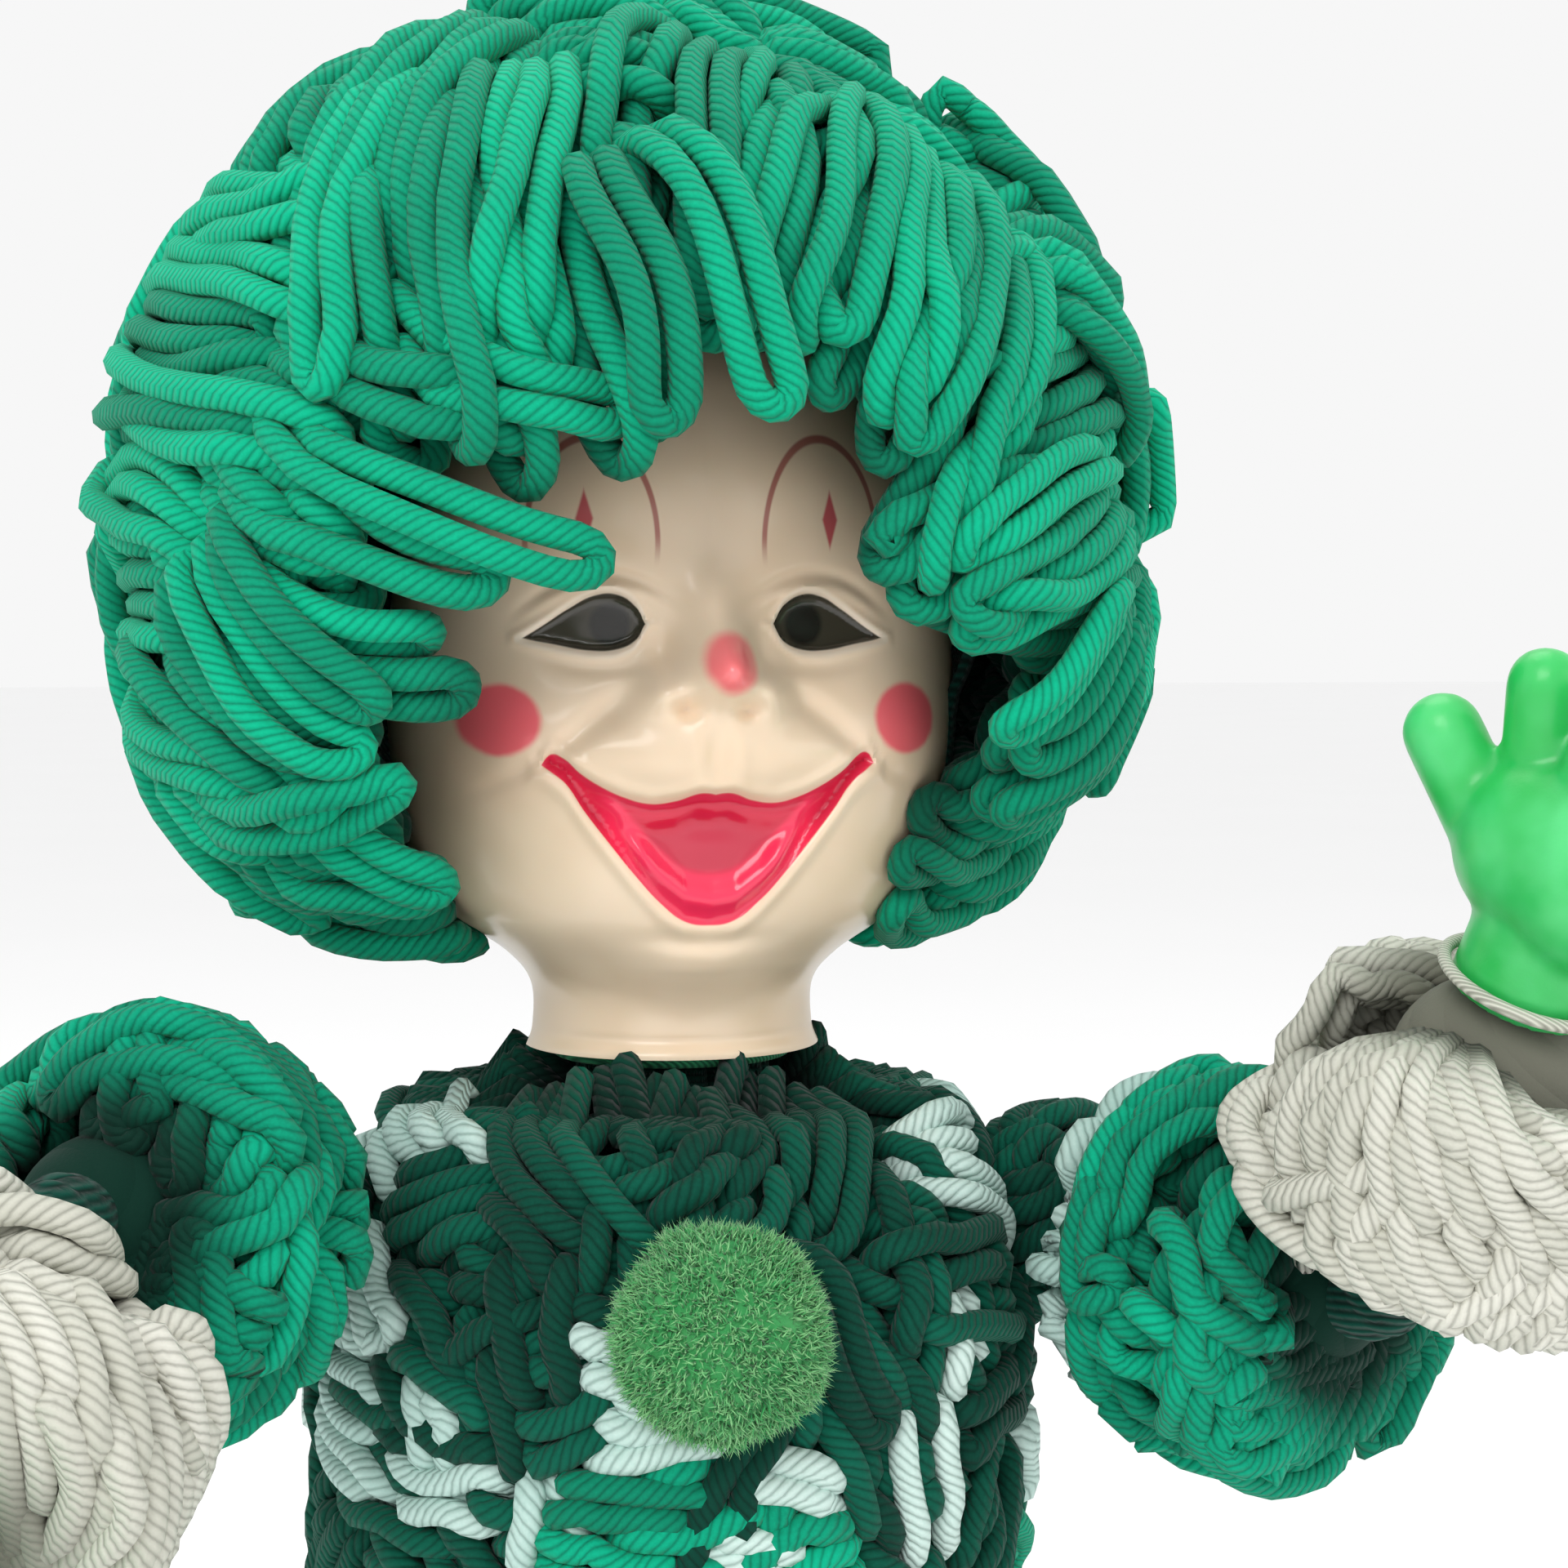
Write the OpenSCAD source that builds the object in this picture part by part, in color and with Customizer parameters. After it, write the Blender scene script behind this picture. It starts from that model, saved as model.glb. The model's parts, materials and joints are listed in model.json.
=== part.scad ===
// Clown hand puppet: a knitted glove covered in rings of loop yarn, a moulded
// face on a stuffed head, and two wire-cored arms that end in moulded hands.
// Origin: centre of the hand opening, on the surface that the hem stands on.
// The face looks along -Y, +Z is up, and the puppet's left arm is on +X.

/* [Glove] */
// Inner radius of the glove where the hand goes in
hand_r = 38; // [32:1:44]
// Height of the glove from the hem to the top of its neck
glove_h = 220; // [184:1:264]
// Thickness of the knitted wall
glove_wall = 2.4; // [1.6:0.2:3.2]
// Inner radius of the glove's neck
glove_neck_r = 18.5; // [17:0.5:22]
// Height of the hem band
hem_h = 16; // [12:1:22]

/* [Body pile] */
// Depth of the loop pile around the glove
body_pile = 15; // [11:1:18]
// Number of yarn rings on the body
ring_count = 6; // [5:1:7]

/* [Pompoms] */
// Radius of a chest pompom
pompom_r = 16.5; // [13:0.5:19.5]
// Height of the upper pompom above the surface
pompom_z = 199; // [170:1:205]
// Distance between the two pompoms
pompom_step = 62; // [44:1:74]
// Sideways place of the pompoms
pompom_x = -2.5; // [-8:0.5:8]

/* [Head] */
// Height of the neck pivot above the top of the glove
pivot_gap = 14; // [12:1:18]
// Width of the face at the cheeks
face_w = 97; // [88:1:102]
// Height of the face mask from the neck rim to its top edge
face_h = 120; // [112:1:126]
// Thickness of the moulded face
face_wall = 1.6; // [1.2:0.2:2.4]
// Radius of the stuffed head core
core_r = 41; // [36:1:41]
// Inner radius of the finger tube
finger_r = 10.5; // [9:0.5:11]
// Thickness of the finger tube
tube_wall = 1.5; // [1:0.1:1.8]
// Outer radius of the hair pile
hair_r = 84; // [74:1:86]

/* [Arms] */
// Distance of each shoulder from the middle
shoulder_x = 69; // [66:1:78]
// Height of the shoulders below the top of the glove
shoulder_drop = 17; // [14:1:24]
// Radius of the yarn ball at the shoulder
shoulder_r = 20; // [17:0.5:21]
// Radius of the upper arm ring
upper_ring_r = 30; // [25:1:33]
// Radius of the cuff ring
cuff_r = 31; // [26:1:34]
// Rise of the left upper arm above level
left_rise = -2; // [-30:1:30]
// Rise of the right upper arm above level
right_rise = 14; // [-30:1:30]
// Bend of the left elbow, upwards
left_bend = 66; // [-40:1:66]
// Bend of the right elbow, upwards
right_bend = -50; // [-60:1:66]
// Turn of both arms towards the front
arm_forward = 64; // [0:1:66]
// Length of a moulded hand beyond the wrist
hand_l = 54; // [46:1:64]

/* [Hidden] */
$fn = 64;

// Clearances
seam = 0.4; // between soft pieces of one body
swing_gap = 1; // between pieces that move on each other

// Colours
dark_green = [0.02, 0.28, 0.22];
bright_green = [0.04, 0.62, 0.47];
white_yarn = [0.80, 0.87, 0.84];
cream_yarn = [0.82, 0.82, 0.77];
pompom_green = [0.25, 0.60, 0.33];
hand_green = [0.24, 0.80, 0.45];
skin = [0.95, 0.85, 0.74];
cloth_green = [0.02, 0.22, 0.18];
foam_white = [0.93, 0.93, 0.90];
wire_grey = [0.65, 0.66, 0.68];
big = 1000;

// ---------- glove ----------
glove_r = hand_r + glove_wall;
shoulder_start = glove_h - 52; // the glove tapers above this height
taper_steps = 14;

// Inner radius of the glove at height z: straight, then a half cosine in to the neck
function glove_inner(z) =
  z <= shoulder_start ? hand_r :
  glove_neck_r + (hand_r - glove_neck_r)
    * (1 + cos(180 * (z - shoulder_start) / (glove_h - shoulder_start))) / 2;

function taper_z(i) = shoulder_start + (glove_h - shoulder_start) * i / taper_steps;

// A solid of revolution inside the glove's wall grown by g, from z0 up
module glove_solid(g, z0, z1) {
  rotate_extrude()
    polygon(concat(
      [[0, z0], [hand_r + g, z0]],
      [for (i = [0:taper_steps]) [glove_inner(taper_z(i)) + g, taper_z(i)]],
      [[glove_neck_r + g, z1], [0, z1]]
    ));
}

module glove() {
  color(cloth_green)
    rotate_extrude()
      polygon(concat(
        [[hand_r, hem_h + seam], [hand_r + glove_wall, hem_h + seam]],
        [for (i = [0:taper_steps]) [glove_inner(taper_z(i)) + glove_wall, taper_z(i)]],
        [for (i = [taper_steps:-1:0]) [glove_inner(taper_z(i)), taper_z(i)]]
      ));
}

module hem_band() {
  color(cloth_green)
    difference() {
      cylinder(r = glove_r, h = hem_h);
      translate([0, 0, -1]) cylinder(r = hand_r, h = hem_h + 2);
    }
}

// ---------- body rings ----------
ring_h = (glove_h + 6) / ring_count;
body_r = glove_r + body_pile;
collar_r = body_r - 5;
arm_room = shoulder_r + swing_gap;
shoulder_y = -4;
shoulder_z = glove_h - shoulder_drop;
pivot_z = glove_h + pivot_gap;
neck_room = 30; // sphere kept clear around the neck pivot
round_r = 7; // rounding of a ring's outer edges

module ring_solid(z0, h, r) {
  translate([0, 0, z0])
    rotate_extrude()
      polygon(concat(
        [[0, 0]],
        [for (a = [-90:15:0]) [r - round_r + round_r * cos(a), round_r + round_r * sin(a)]],
        [for (a = [0:15:90]) [r - round_r + round_r * cos(a), h - round_r + round_r * sin(a)]],
        [[0, h]]
      ));
}

module shoulder_balls(r) {
  for (s = [-1, 1])
    translate([s * shoulder_x, shoulder_y, shoulder_z]) sphere(r = r);
}

module body_ring(i, r) {
  difference() {
    ring_solid(i * ring_h + (i > 0 ? seam : 0), ring_h - (i > 0 ? seam : 0), r);
    glove_solid(glove_wall + seam, -1, big);
    shoulder_balls(arm_room);
    translate([0, 0, pivot_z]) sphere(r = neck_room);
    pompom_balls(pompom_r + seam);
    thread_rods(thread_r + 0.1);
  }
}

module hem_loops() {
  color(dark_green) body_ring(0, body_r + 2);
}

module skirt_loops() {
  color(cream_yarn) body_ring(1, body_r + 2);
}

module belly_loops() {
  color(bright_green) body_ring(2, body_r + 1);
}

module waist_loops() {
  color(bright_green) for (i = [3:ring_count - 3]) body_ring(i, body_r);
}

// Angles of the white bunches in the chest ring, and the half width of each
bunch_angles = [-145, -106, -50, -15, 40, 95, 145];
bunch_half = 7;

module chest_sectors(extra) {
  for (a = bunch_angles)
    rotate([0, 0, a])
      linear_extrude(height = big)
        polygon([
          [0, 0],
          [2 * body_r, -2 * body_r * tan(bunch_half + extra)],
          [2 * body_r, 2 * body_r * tan(bunch_half + extra)]
        ]);
}

module chest_ring() {
  body_ring(ring_count - 2, body_r);
}

module chest_loops_green() {
  color(dark_green)
    difference() {
      chest_ring();
      chest_sectors(0.4);
    }
}

module chest_loops_white() {
  color(white_yarn)
    intersection() {
      chest_ring();
      chest_sectors(0);
    }
}

module collar_loops() {
  color(dark_green) body_ring(ring_count - 1, collar_r);
}

// ---------- pompoms ----------
thread_r = 0.8;
pompom_sink = 7; // how deep a pompom sits in the pile
pompom_y = -(body_r + pompom_r - pompom_sink);

module pompom_balls(r) {
  for (z = [pompom_z, pompom_z - pompom_step])
    translate([pompom_x, pompom_y, z]) sphere(r = r);
}

// The thread runs from the glove's wall to the back of each pompom
module thread_rods(r) {
  for (z = [pompom_z, pompom_z - pompom_step])
    translate([pompom_x, 0, z])
      rotate([90, 0, 0])
        difference() {
          cylinder(r = r, h = -pompom_y);
          translate([0, 0, -1]) cylinder(r = 3 * r, h = glove_inner(z) + glove_wall + 1 + seam);
        }
}

module pompom_upper() {
  color(pompom_green) translate([pompom_x, pompom_y, pompom_z]) sphere(r = pompom_r);
}

module pompom_lower() {
  color(pompom_green)
    translate([pompom_x, pompom_y, pompom_z - pompom_step]) sphere(r = pompom_r);
}

module pompom_threads() {
  color(pompom_green)
    difference() {
      thread_rods(thread_r);
      pompom_balls(pompom_r + 0.05);
    }
}

// ---------- neck ----------
tube_r = finger_r + tube_wall;
gather_in = tube_r + 3.5; // the gathered cloth stays clear of the tube as the head nods
gather_wall = 1.5;
gather_h = 6;
tie_wire = 1.2;
tie_mid = gather_in + gather_wall + swing_gap + 0.2 + tie_wire;

module neck_gather() {
  color(cloth_green)
    translate([0, 0, pivot_z - gather_h / 2])
      difference() {
        cylinder(r = gather_in + gather_wall, h = gather_h);
        translate([0, 0, -1]) cylinder(r = gather_in, h = gather_h + 2);
      }
}

module neck_tie() {
  color(bright_green)
    translate([0, 0, pivot_z])
      rotate_extrude() translate([tie_mid, 0]) circle(r = tie_wire, $fn = 24);
}

// ---------- head ----------
rim_z = pivot_z + 1; // lower rim of the mask's neck
core_z = rim_z + 83;
core_y = 5;
tube_bottom = pivot_z - 8;
cap_wall = 2;
hair_z = core_z + 4;
hair_x = -5;

// Mask outline from the neck rim up: share of the height, of half the width, and depth in mm
outline = [
  [0.000, 0.520, 25.4], [0.030, 0.497, 24.2], [0.090, 0.502, 24.3], [0.135, 0.590, 30.5],
  [0.200, 0.810, 38.5], [0.290, 0.935, 42.5], [0.400, 0.985, 44.0], [0.520, 1.000, 43.0],
  [0.660, 0.970, 42.5], [0.800, 0.885, 40.0], [0.920, 0.720, 33.5], [1.000, 0.540, 25.5]
];
last_row = len(outline) - 1;

// Catmull-Rom value of outline column c at parameter t in rows
function row(i, c) = outline[max(0, min(last_row, i))][c];
function smooth(c, t) =
  let (i = min(last_row - 1, floor(t)), u = t - i,
       p0 = row(i - 1, c), p1 = row(i, c), p2 = row(i + 1, c), p3 = row(i + 2, c))
  p1 + 0.5 * u * (p2 - p0 + u * (2 * p0 - 5 * p1 + 4 * p2 - p3 + u * (3 * (p1 - p2) + p3 - p0)));

// A soft round bump of height h at (cx, cz), with its own half widths
function bump(x, z, cx, cz, wx, wz, h) = h * exp(-pow((x - cx) / wx, 2) - pow((z - cz) / wz, 2));

// Relief of the face in mm outwards, z counted from the neck rim
function relief(x, z) =
  bump(x, z, 0, 62, 6.5, 7, 14) + bump(x, z, 0, 71, 5, 10, 6)
  + bump(abs(x), z, 9, 58, 5, 4, 4)
  + bump(abs(x), z, 30, 53, 13, 11, 5)
  + bump(x, z, 0, 19, 13, 7, 5)
  + bump(x, z, 0, 48, 20, 7, 4)
  - bump(abs(x), z, 18, 70, 9, 5.5, 4)
  - bump(x, z, 0, 33, 15, 6, 5)
  + bump(abs(x), z, 16, 98, 16, 14, 2);

mask_rows = 34;
mask_cols = 30;
mask_half = 88; // the mask wraps this many degrees to each side

function mask_point(i, j, wall) =
  let (t = last_row * j / mask_rows,
       a = -mask_half + 2 * mask_half * i / mask_cols,
       z = face_h * smooth(0, t),
       hw = face_w / 2 * smooth(1, t) - wall,
       d = smooth(2, t) - wall,
       x = hw * sin(a))
  [x, -d * cos(a) - relief(x, z) * cos(a), z];

module face_mask() {
  n = mask_cols + 1;
  m = mask_rows + 1;
  outer = [for (j = [0:mask_rows], i = [0:mask_cols]) mask_point(i, j, 0)];
  inner = [for (j = [0:mask_rows], i = [0:mask_cols]) mask_point(i, j, face_wall)];
  k = n * m;
  skin_faces = [
    for (j = [0:mask_rows - 1], i = [0:mask_cols - 1])
      let (a = j * n + i, b = a + 1, c = a + n + 1, d = a + n)
      each [[a, c, b], [a, d, c], [k + a, k + b, k + c], [k + a, k + c, k + d]]
  ];
  side_faces = [
    for (j = [0:mask_rows - 1])
      let (a = j * n, d = a + n, b = a + mask_cols, c = b + n)
      each [[a, k + d, d], [a, k + a, k + d], [b, c, k + c], [b, k + c, k + b]]
  ];
  end_faces = [
    for (i = [0:mask_cols - 1])
      let (a = i, b = i + 1, c = mask_rows * n + i, d = c + 1)
      each [[a, b, k + b], [a, k + b, k + a], [c, k + d, d], [c, k + c, k + d]]
  ];
  color(skin)
    translate([0, 0, rim_z])
      polyhedron(points = concat(outer, inner), faces = concat(skin_faces, side_faces, end_faces));
}

// The mask's outline turned about Z, kept g outside its surface
module mask_envelope(g) {
  translate([0, 0, rim_z])
    rotate_extrude()
      polygon(concat(
        [[0, -g]],
        [for (t = [0:0.5:last_row])
          [max(face_w / 2 * smooth(1, t), smooth(2, t)) + g,
           face_h * smooth(0, t) + (t == 0 ? -g : t == last_row ? g : 0)]],
        [[0, face_h + g]]
      ));
}

module finger_tube() {
  color(foam_white)
    translate([0, 0, tube_bottom])
      difference() {
        cylinder(r = tube_r, h = core_z - tube_bottom);
        translate([0, 0, -1]) cylinder(r = finger_r, h = core_z - tube_bottom - 1);
      }
}

module head_core() {
  color(foam_white)
    difference() {
      translate([0, core_y, core_z]) sphere(r = core_r);
      translate([0, 0, tube_bottom]) cylinder(r = tube_r + 0.1, h = core_z - tube_bottom + 0.1);
    }
}

module wig_cap() {
  color(bright_green)
    intersection() {
      difference() {
        translate([0, core_y, core_z]) sphere(r = core_r + 0.2 + cap_wall);
        translate([0, core_y, core_z]) sphere(r = core_r + 0.2);
        translate([0, 0, tube_bottom]) cylinder(r = tube_r + 0.1, h = core_z - tube_bottom);
      }
      translate([-big / 2, 2, 0]) cube([big, big, big]);
    }
}

// ---------- hair ----------
window_r = 43; // opening of the hair around the face
window_z = rim_z + 57;
fringe_y = -18;
back_y = 20;
crown_z = hair_z + 38;
fringe_z = hair_z + 6;

module hair_ball() {
  difference() {
    translate([hair_x, core_y, hair_z]) sphere(r = hair_r);
    translate([0, core_y, core_z]) sphere(r = core_r + cap_wall + 0.2 + seam);
    mask_envelope(1);
    translate([0, 0, window_z]) rotate([90, 0, 0]) cylinder(r = window_r, h = big);
    translate([-window_r, -big, window_z - big]) cube([2 * window_r, big, big]);
    translate([0, 0, -1]) cylinder(r = neck_room, h = core_z - core_r);
  }
}

module slab(x0, x1, y0, y1, z0, z1) {
  translate([x0, y0, z0]) cube([x1 - x0, y1 - y0, z1 - z0]);
}

module hair_part(x0, x1, y0, y1, z0, z1) {
  color(bright_green)
    intersection() {
      hair_ball();
      slab(x0, x1, y0, y1, z0, z1);
    }
}

module hair_crown() {
  hair_part(-big, big, -big, big, crown_z + seam, big);
}

module hair_fringe(side) {
  if (side > 0) hair_part(seam / 2, big, -big, fringe_y, fringe_z, crown_z);
  else hair_part(-big, -seam / 2, -big, fringe_y, fringe_z, crown_z);
}

module hair_side(side) {
  difference() {
    if (side > 0) hair_part(seam / 2, big, -big, back_y, 0, crown_z);
    else hair_part(-big, -seam / 2, -big, back_y, 0, crown_z);
    slab(-big, big, -big, fringe_y + seam, fringe_z - seam, crown_z + 1);
  }
}

module hair_back() {
  hair_part(-big, big, back_y + seam, big, hair_z, crown_z);
}

module hair_nape() {
  hair_part(-big, big, back_y + seam, big, 0, hair_z - seam);
}

// ---------- arms ----------
white_half = 5; // half length of the white ring by the shoulder
white_r = shoulder_r + 5;
upper_half = 17; // half length of the upper arm ring
cuff_half = 20;
white_mid = shoulder_r + swing_gap + 1 + white_half;
upper_mid = white_mid + white_half + seam + upper_half;
elbow_t = upper_mid + upper_half + 9;
cuff_mid = 34; // counted from the elbow
wrist_t = cuff_mid + cuff_half + 2;
core_rod_r = 8;
wire_r = 1.2;
bend_most = max(abs(left_bend), abs(right_bend)) + 6; // the elbow goes this far past its rest bend
elbow_gap = core_rod_r * tan(min(76, bend_most) / 2) + 0.4; // the cores stop this far from the elbow

module on_side(side) {
  if (side > 0) children();
  else mirror([1, 0, 0]) children();
}

// Upper arm frame: origin at the shoulder, +X along the arm
module upper_frame(side) {
  on_side(side)
    translate([shoulder_x, shoulder_y, shoulder_z])
      rotate([0, side > 0 ? -left_rise : -right_rise, -arm_forward])
        children();
}

// Forearm frame: origin at the elbow, +X along the forearm
module forearm_frame(side) {
  upper_frame(side)
    translate([elbow_t, 0, 0])
      rotate([0, side > 0 ? -left_bend : -right_bend, 0])
        children();
}

module x_rod(r, x0, x1) {
  translate([x0, 0, 0]) rotate([0, 90, 0]) cylinder(r = r, h = x1 - x0);
}

// A ring of yarn: an ellipse turned about X, with a hole for the core
module yarn_bead(mid, half, r, hole) {
  difference() {
    translate([mid, 0, 0])
      rotate([0, 90, 0])
        rotate_extrude()
          polygon([for (a = [-90:10:90]) [r * cos(a), half * sin(a)]]);
    x_rod(hole, mid - half - 1, mid + half + 1);
  }
}

module shoulder_loops(side) {
  color(dark_green) upper_frame(side) sphere(r = shoulder_r);
}

module white_loops(side) {
  color(white_yarn)
    upper_frame(side)
      difference() {
        yarn_bead(white_mid, white_half, white_r, core_rod_r + seam);
        sphere(r = shoulder_r + swing_gap);
      }
}

module arm_loops(side) {
  color(bright_green)
    upper_frame(side) yarn_bead(upper_mid, upper_half, upper_ring_r, core_rod_r + seam);
}

module upper_core(side) {
  color(cloth_green)
    upper_frame(side)
      difference() {
        x_rod(core_rod_r, 0, elbow_t - elbow_gap);
        sphere(r = shoulder_r + swing_gap);
        x_rod(wire_r + 0.05, 0, big);
      }
}

module upper_wire(side) {
  color(wire_grey)
    upper_frame(side)
      difference() {
        x_rod(wire_r, 0, elbow_t - elbow_gap + 1);
        sphere(r = shoulder_r + swing_gap);
      }
}

module cuff_loops(side) {
  color(cream_yarn)
    forearm_frame(side) yarn_bead(cuff_mid, cuff_half, cuff_r, core_rod_r + seam);
}

module forearm_core(side) {
  color(cloth_green)
    forearm_frame(side)
      difference() {
        x_rod(core_rod_r, elbow_gap, wrist_t + 6);
        x_rod(wire_r + 0.05, 0, big);
      }
}

module forearm_wire(side) {
  color(wire_grey) forearm_frame(side) x_rod(wire_r, elbow_gap - 1, wrist_t + 5);
}

// ---------- hands ----------
stub_r = 11;
stub_l = 12;
palm_r = 14.5;
finger_hand_r = 5.6;
thumb_r = 6;

// A round-ended rod from point p to point q
module capsule(p, q, r) {
  d = q - p;
  length = norm(d);
  translate(p)
    rotate([0, acos(d[2] / length), atan2(d[1], d[0])]) {
      cylinder(r = r, h = length, $fn = 32);
      sphere(r = r, $fn = 32);
      translate([0, 0, length]) sphere(r = r, $fn = 32);
    }
}

module wrist_tie(side) {
  color(cream_yarn)
    forearm_frame(side)
      translate([wrist_t + 3, 0, 0])
        rotate([0, 90, 0])
          rotate_extrude() translate([stub_r + 1.6, 0]) circle(r = 1, $fn = 24);
}

// Four chubby fingers in a row across Z, and a thumb towards +Z
module moulded_hand(side) {
  palm_x = stub_l + palm_r - 3;
  color(hand_green)
    forearm_frame(side)
      translate([wrist_t, 0, 0])
        difference() {
          union() {
            x_rod(stub_r, 0, stub_l + 6);
            capsule([palm_x, 0, -5], [palm_x, 0, 5], palm_r);
            for (i = [0:2])
              let (spread = 14 * (i - 1))
              capsule([palm_x + 5, -2, 9 * (i - 1)],
                      [hand_l - finger_hand_r - abs(i - 1) * 3, -4, 9 * (i - 1) + spread * 0.35],
                      finger_hand_r);
            capsule([palm_x - 4, -4, 10], [palm_x + 9, -9, 24], thumb_r);
          }
          x_rod(core_rod_r + 0.6, -1, 8);
        }
}

glove();
hem_band();
hem_loops();
skirt_loops();
belly_loops();
waist_loops();
chest_loops_green();
chest_loops_white();
collar_loops();
pompom_upper();
pompom_lower();
pompom_threads();
neck_gather();
neck_tie();
finger_tube();
head_core();
face_mask();
wig_cap();
hair_crown();
hair_fringe(1);  // hair_fringe_left
hair_fringe(-1);  // hair_fringe_right
hair_side(1);  // hair_side_left
hair_side(-1);  // hair_side_right
hair_back();
hair_nape();
shoulder_loops(1);  // left_shoulder_loops
white_loops(1);  // left_white_loops
arm_loops(1);  // left_arm_loops
upper_core(1);  // left_upper_core
upper_wire(1);  // left_upper_wire
cuff_loops(1);  // left_cuff_loops
forearm_core(1);  // left_forearm_core
forearm_wire(1);  // left_forearm_wire
wrist_tie(1);  // left_wrist_tie
moulded_hand(1);  // left_hand
shoulder_loops(-1);  // right_shoulder_loops
white_loops(-1);  // right_white_loops
arm_loops(-1);  // right_arm_loops
upper_core(-1);  // right_upper_core
upper_wire(-1);  // right_upper_wire
cuff_loops(-1);  // right_cuff_loops
forearm_core(-1);  // right_forearm_core
forearm_wire(-1);  // right_forearm_wire
wrist_tie(-1);  // right_wrist_tie
moulded_hand(-1);  // right_hand
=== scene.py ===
import bpy
import bmesh
import json
import math
import numpy as np
from mathutils import Vector, Matrix


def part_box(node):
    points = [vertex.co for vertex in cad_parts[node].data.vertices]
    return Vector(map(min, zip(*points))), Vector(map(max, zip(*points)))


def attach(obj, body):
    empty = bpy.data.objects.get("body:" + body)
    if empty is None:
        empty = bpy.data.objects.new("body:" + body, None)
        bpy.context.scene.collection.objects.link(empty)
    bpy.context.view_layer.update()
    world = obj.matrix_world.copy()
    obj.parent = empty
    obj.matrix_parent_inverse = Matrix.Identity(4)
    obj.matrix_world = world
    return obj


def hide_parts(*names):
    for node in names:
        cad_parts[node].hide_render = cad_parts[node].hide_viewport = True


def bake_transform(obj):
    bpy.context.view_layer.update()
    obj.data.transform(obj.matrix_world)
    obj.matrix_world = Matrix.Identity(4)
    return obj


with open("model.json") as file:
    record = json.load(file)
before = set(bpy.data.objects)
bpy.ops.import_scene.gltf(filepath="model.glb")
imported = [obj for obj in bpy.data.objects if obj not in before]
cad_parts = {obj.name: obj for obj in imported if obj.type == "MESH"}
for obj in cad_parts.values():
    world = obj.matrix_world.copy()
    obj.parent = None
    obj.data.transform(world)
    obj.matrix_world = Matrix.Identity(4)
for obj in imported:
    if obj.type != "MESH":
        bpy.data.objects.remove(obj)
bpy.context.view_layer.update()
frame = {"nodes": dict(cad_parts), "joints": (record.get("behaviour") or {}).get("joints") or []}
mm = 0.001
print("frame loaded:", len(frame["nodes"]), "nodes")

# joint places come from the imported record
jointOf = {j["name"]: j for j in frame["joints"]}


def jointPlace(name):
    return np.array(jointOf[name]["pos_m"])


def nodeMid(node):
    low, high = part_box(node)
    return (np.array(low) + np.array(high)) / 2


def nodeObject(node):
    obj = frame["nodes"][node]
    return bpy.data.objects[obj] if isinstance(obj, str) else obj


neckPivot = jointPlace("head_turn")


def deselectAll():
    if bpy.context.object and bpy.context.object.mode != "OBJECT":
        bpy.ops.object.mode_set(mode="OBJECT")
    bpy.ops.object.select_all(action="DESELECT")


def useOnly(obj):
    deselectAll()
    obj.select_set(True)
    bpy.context.view_layer.objects.active = obj


def named(name):
    obj = bpy.context.object
    obj.name = name
    obj.data.name = name
    return obj


def applyModifiers(obj):
    useOnly(obj)
    for mod in list(obj.modifiers):
        bpy.ops.object.modifier_apply(modifier=mod.name)


def applyPlace(obj):
    useOnly(obj)
    bpy.ops.object.transform_apply(location=True, rotation=True, scale=True)


def smoothShade(obj, angle=None):
    useOnly(obj)
    if angle is None:
        bpy.ops.object.shade_smooth()
    else:
        bpy.ops.object.shade_smooth_by_angle(angle=math.radians(angle))


def joinAll(objs, name):
    deselectAll()
    for o in objs:
        o.select_set(True)
    bpy.context.view_layer.objects.active = objs[0]
    bpy.ops.object.join()
    return named(name)


def placeMesh(obj, matrix):
    obj.data.transform(matrix)
    obj.data.update()


def meshPoints(obj):
    co = np.zeros(len(obj.data.vertices) * 3)
    obj.data.vertices.foreach_get("co", co)
    return co.reshape(-1, 3)


def setMeshPoints(obj, co):
    obj.data.vertices.foreach_set("co", np.asarray(co, float).ravel())
    obj.data.update()


def unit(v):
    v = np.asarray(v, float)
    return v / np.linalg.norm(v, axis=-1, keepdims=True)


def camelName(node):
    first, *rest = node.split("_")
    return first + "".join(w.capitalize() for w in rest)


def addWall(obj, thickness):
    wall = obj.modifiers.new("wall", "SOLIDIFY")
    wall.thickness = thickness
    wall.offset = -1
    applyModifiers(obj)


def turnOutwards(obj):
    useOnly(obj)
    bpy.ops.object.mode_set(mode="EDIT")
    bpy.ops.mesh.select_all(action="SELECT")
    bpy.ops.mesh.normals_make_consistent(inside=False)
    bpy.ops.object.mode_set(mode="OBJECT")


def addAttribute(obj, name, values):
    layer = obj.data.attributes.new(name, "FLOAT", "POINT")
    layer.data.foreach_set("value", np.broadcast_to(values, len(obj.data.vertices)).astype(np.float32))


# corners are the points of every face in turn, starts say where each face begins
def meshObject(name, points, corners, starts):
    mesh = bpy.data.meshes.new(name)
    mesh.vertices.add(len(points))
    mesh.vertices.foreach_set("co", points.ravel())
    mesh.loops.add(len(corners))
    mesh.loops.foreach_set("vertex_index", corners)
    mesh.polygons.add(len(starts))
    mesh.polygons.foreach_set("loop_start", starts)
    mesh.update(calc_edges=True)
    obj = bpy.data.objects.new(name, mesh)
    bpy.context.scene.collection.objects.link(obj)
    return obj


def declare(obj, body, node, material=None):
    if material is not None:
        obj.data.materials.append(material)
    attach(obj, body)
    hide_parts(node)


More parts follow.
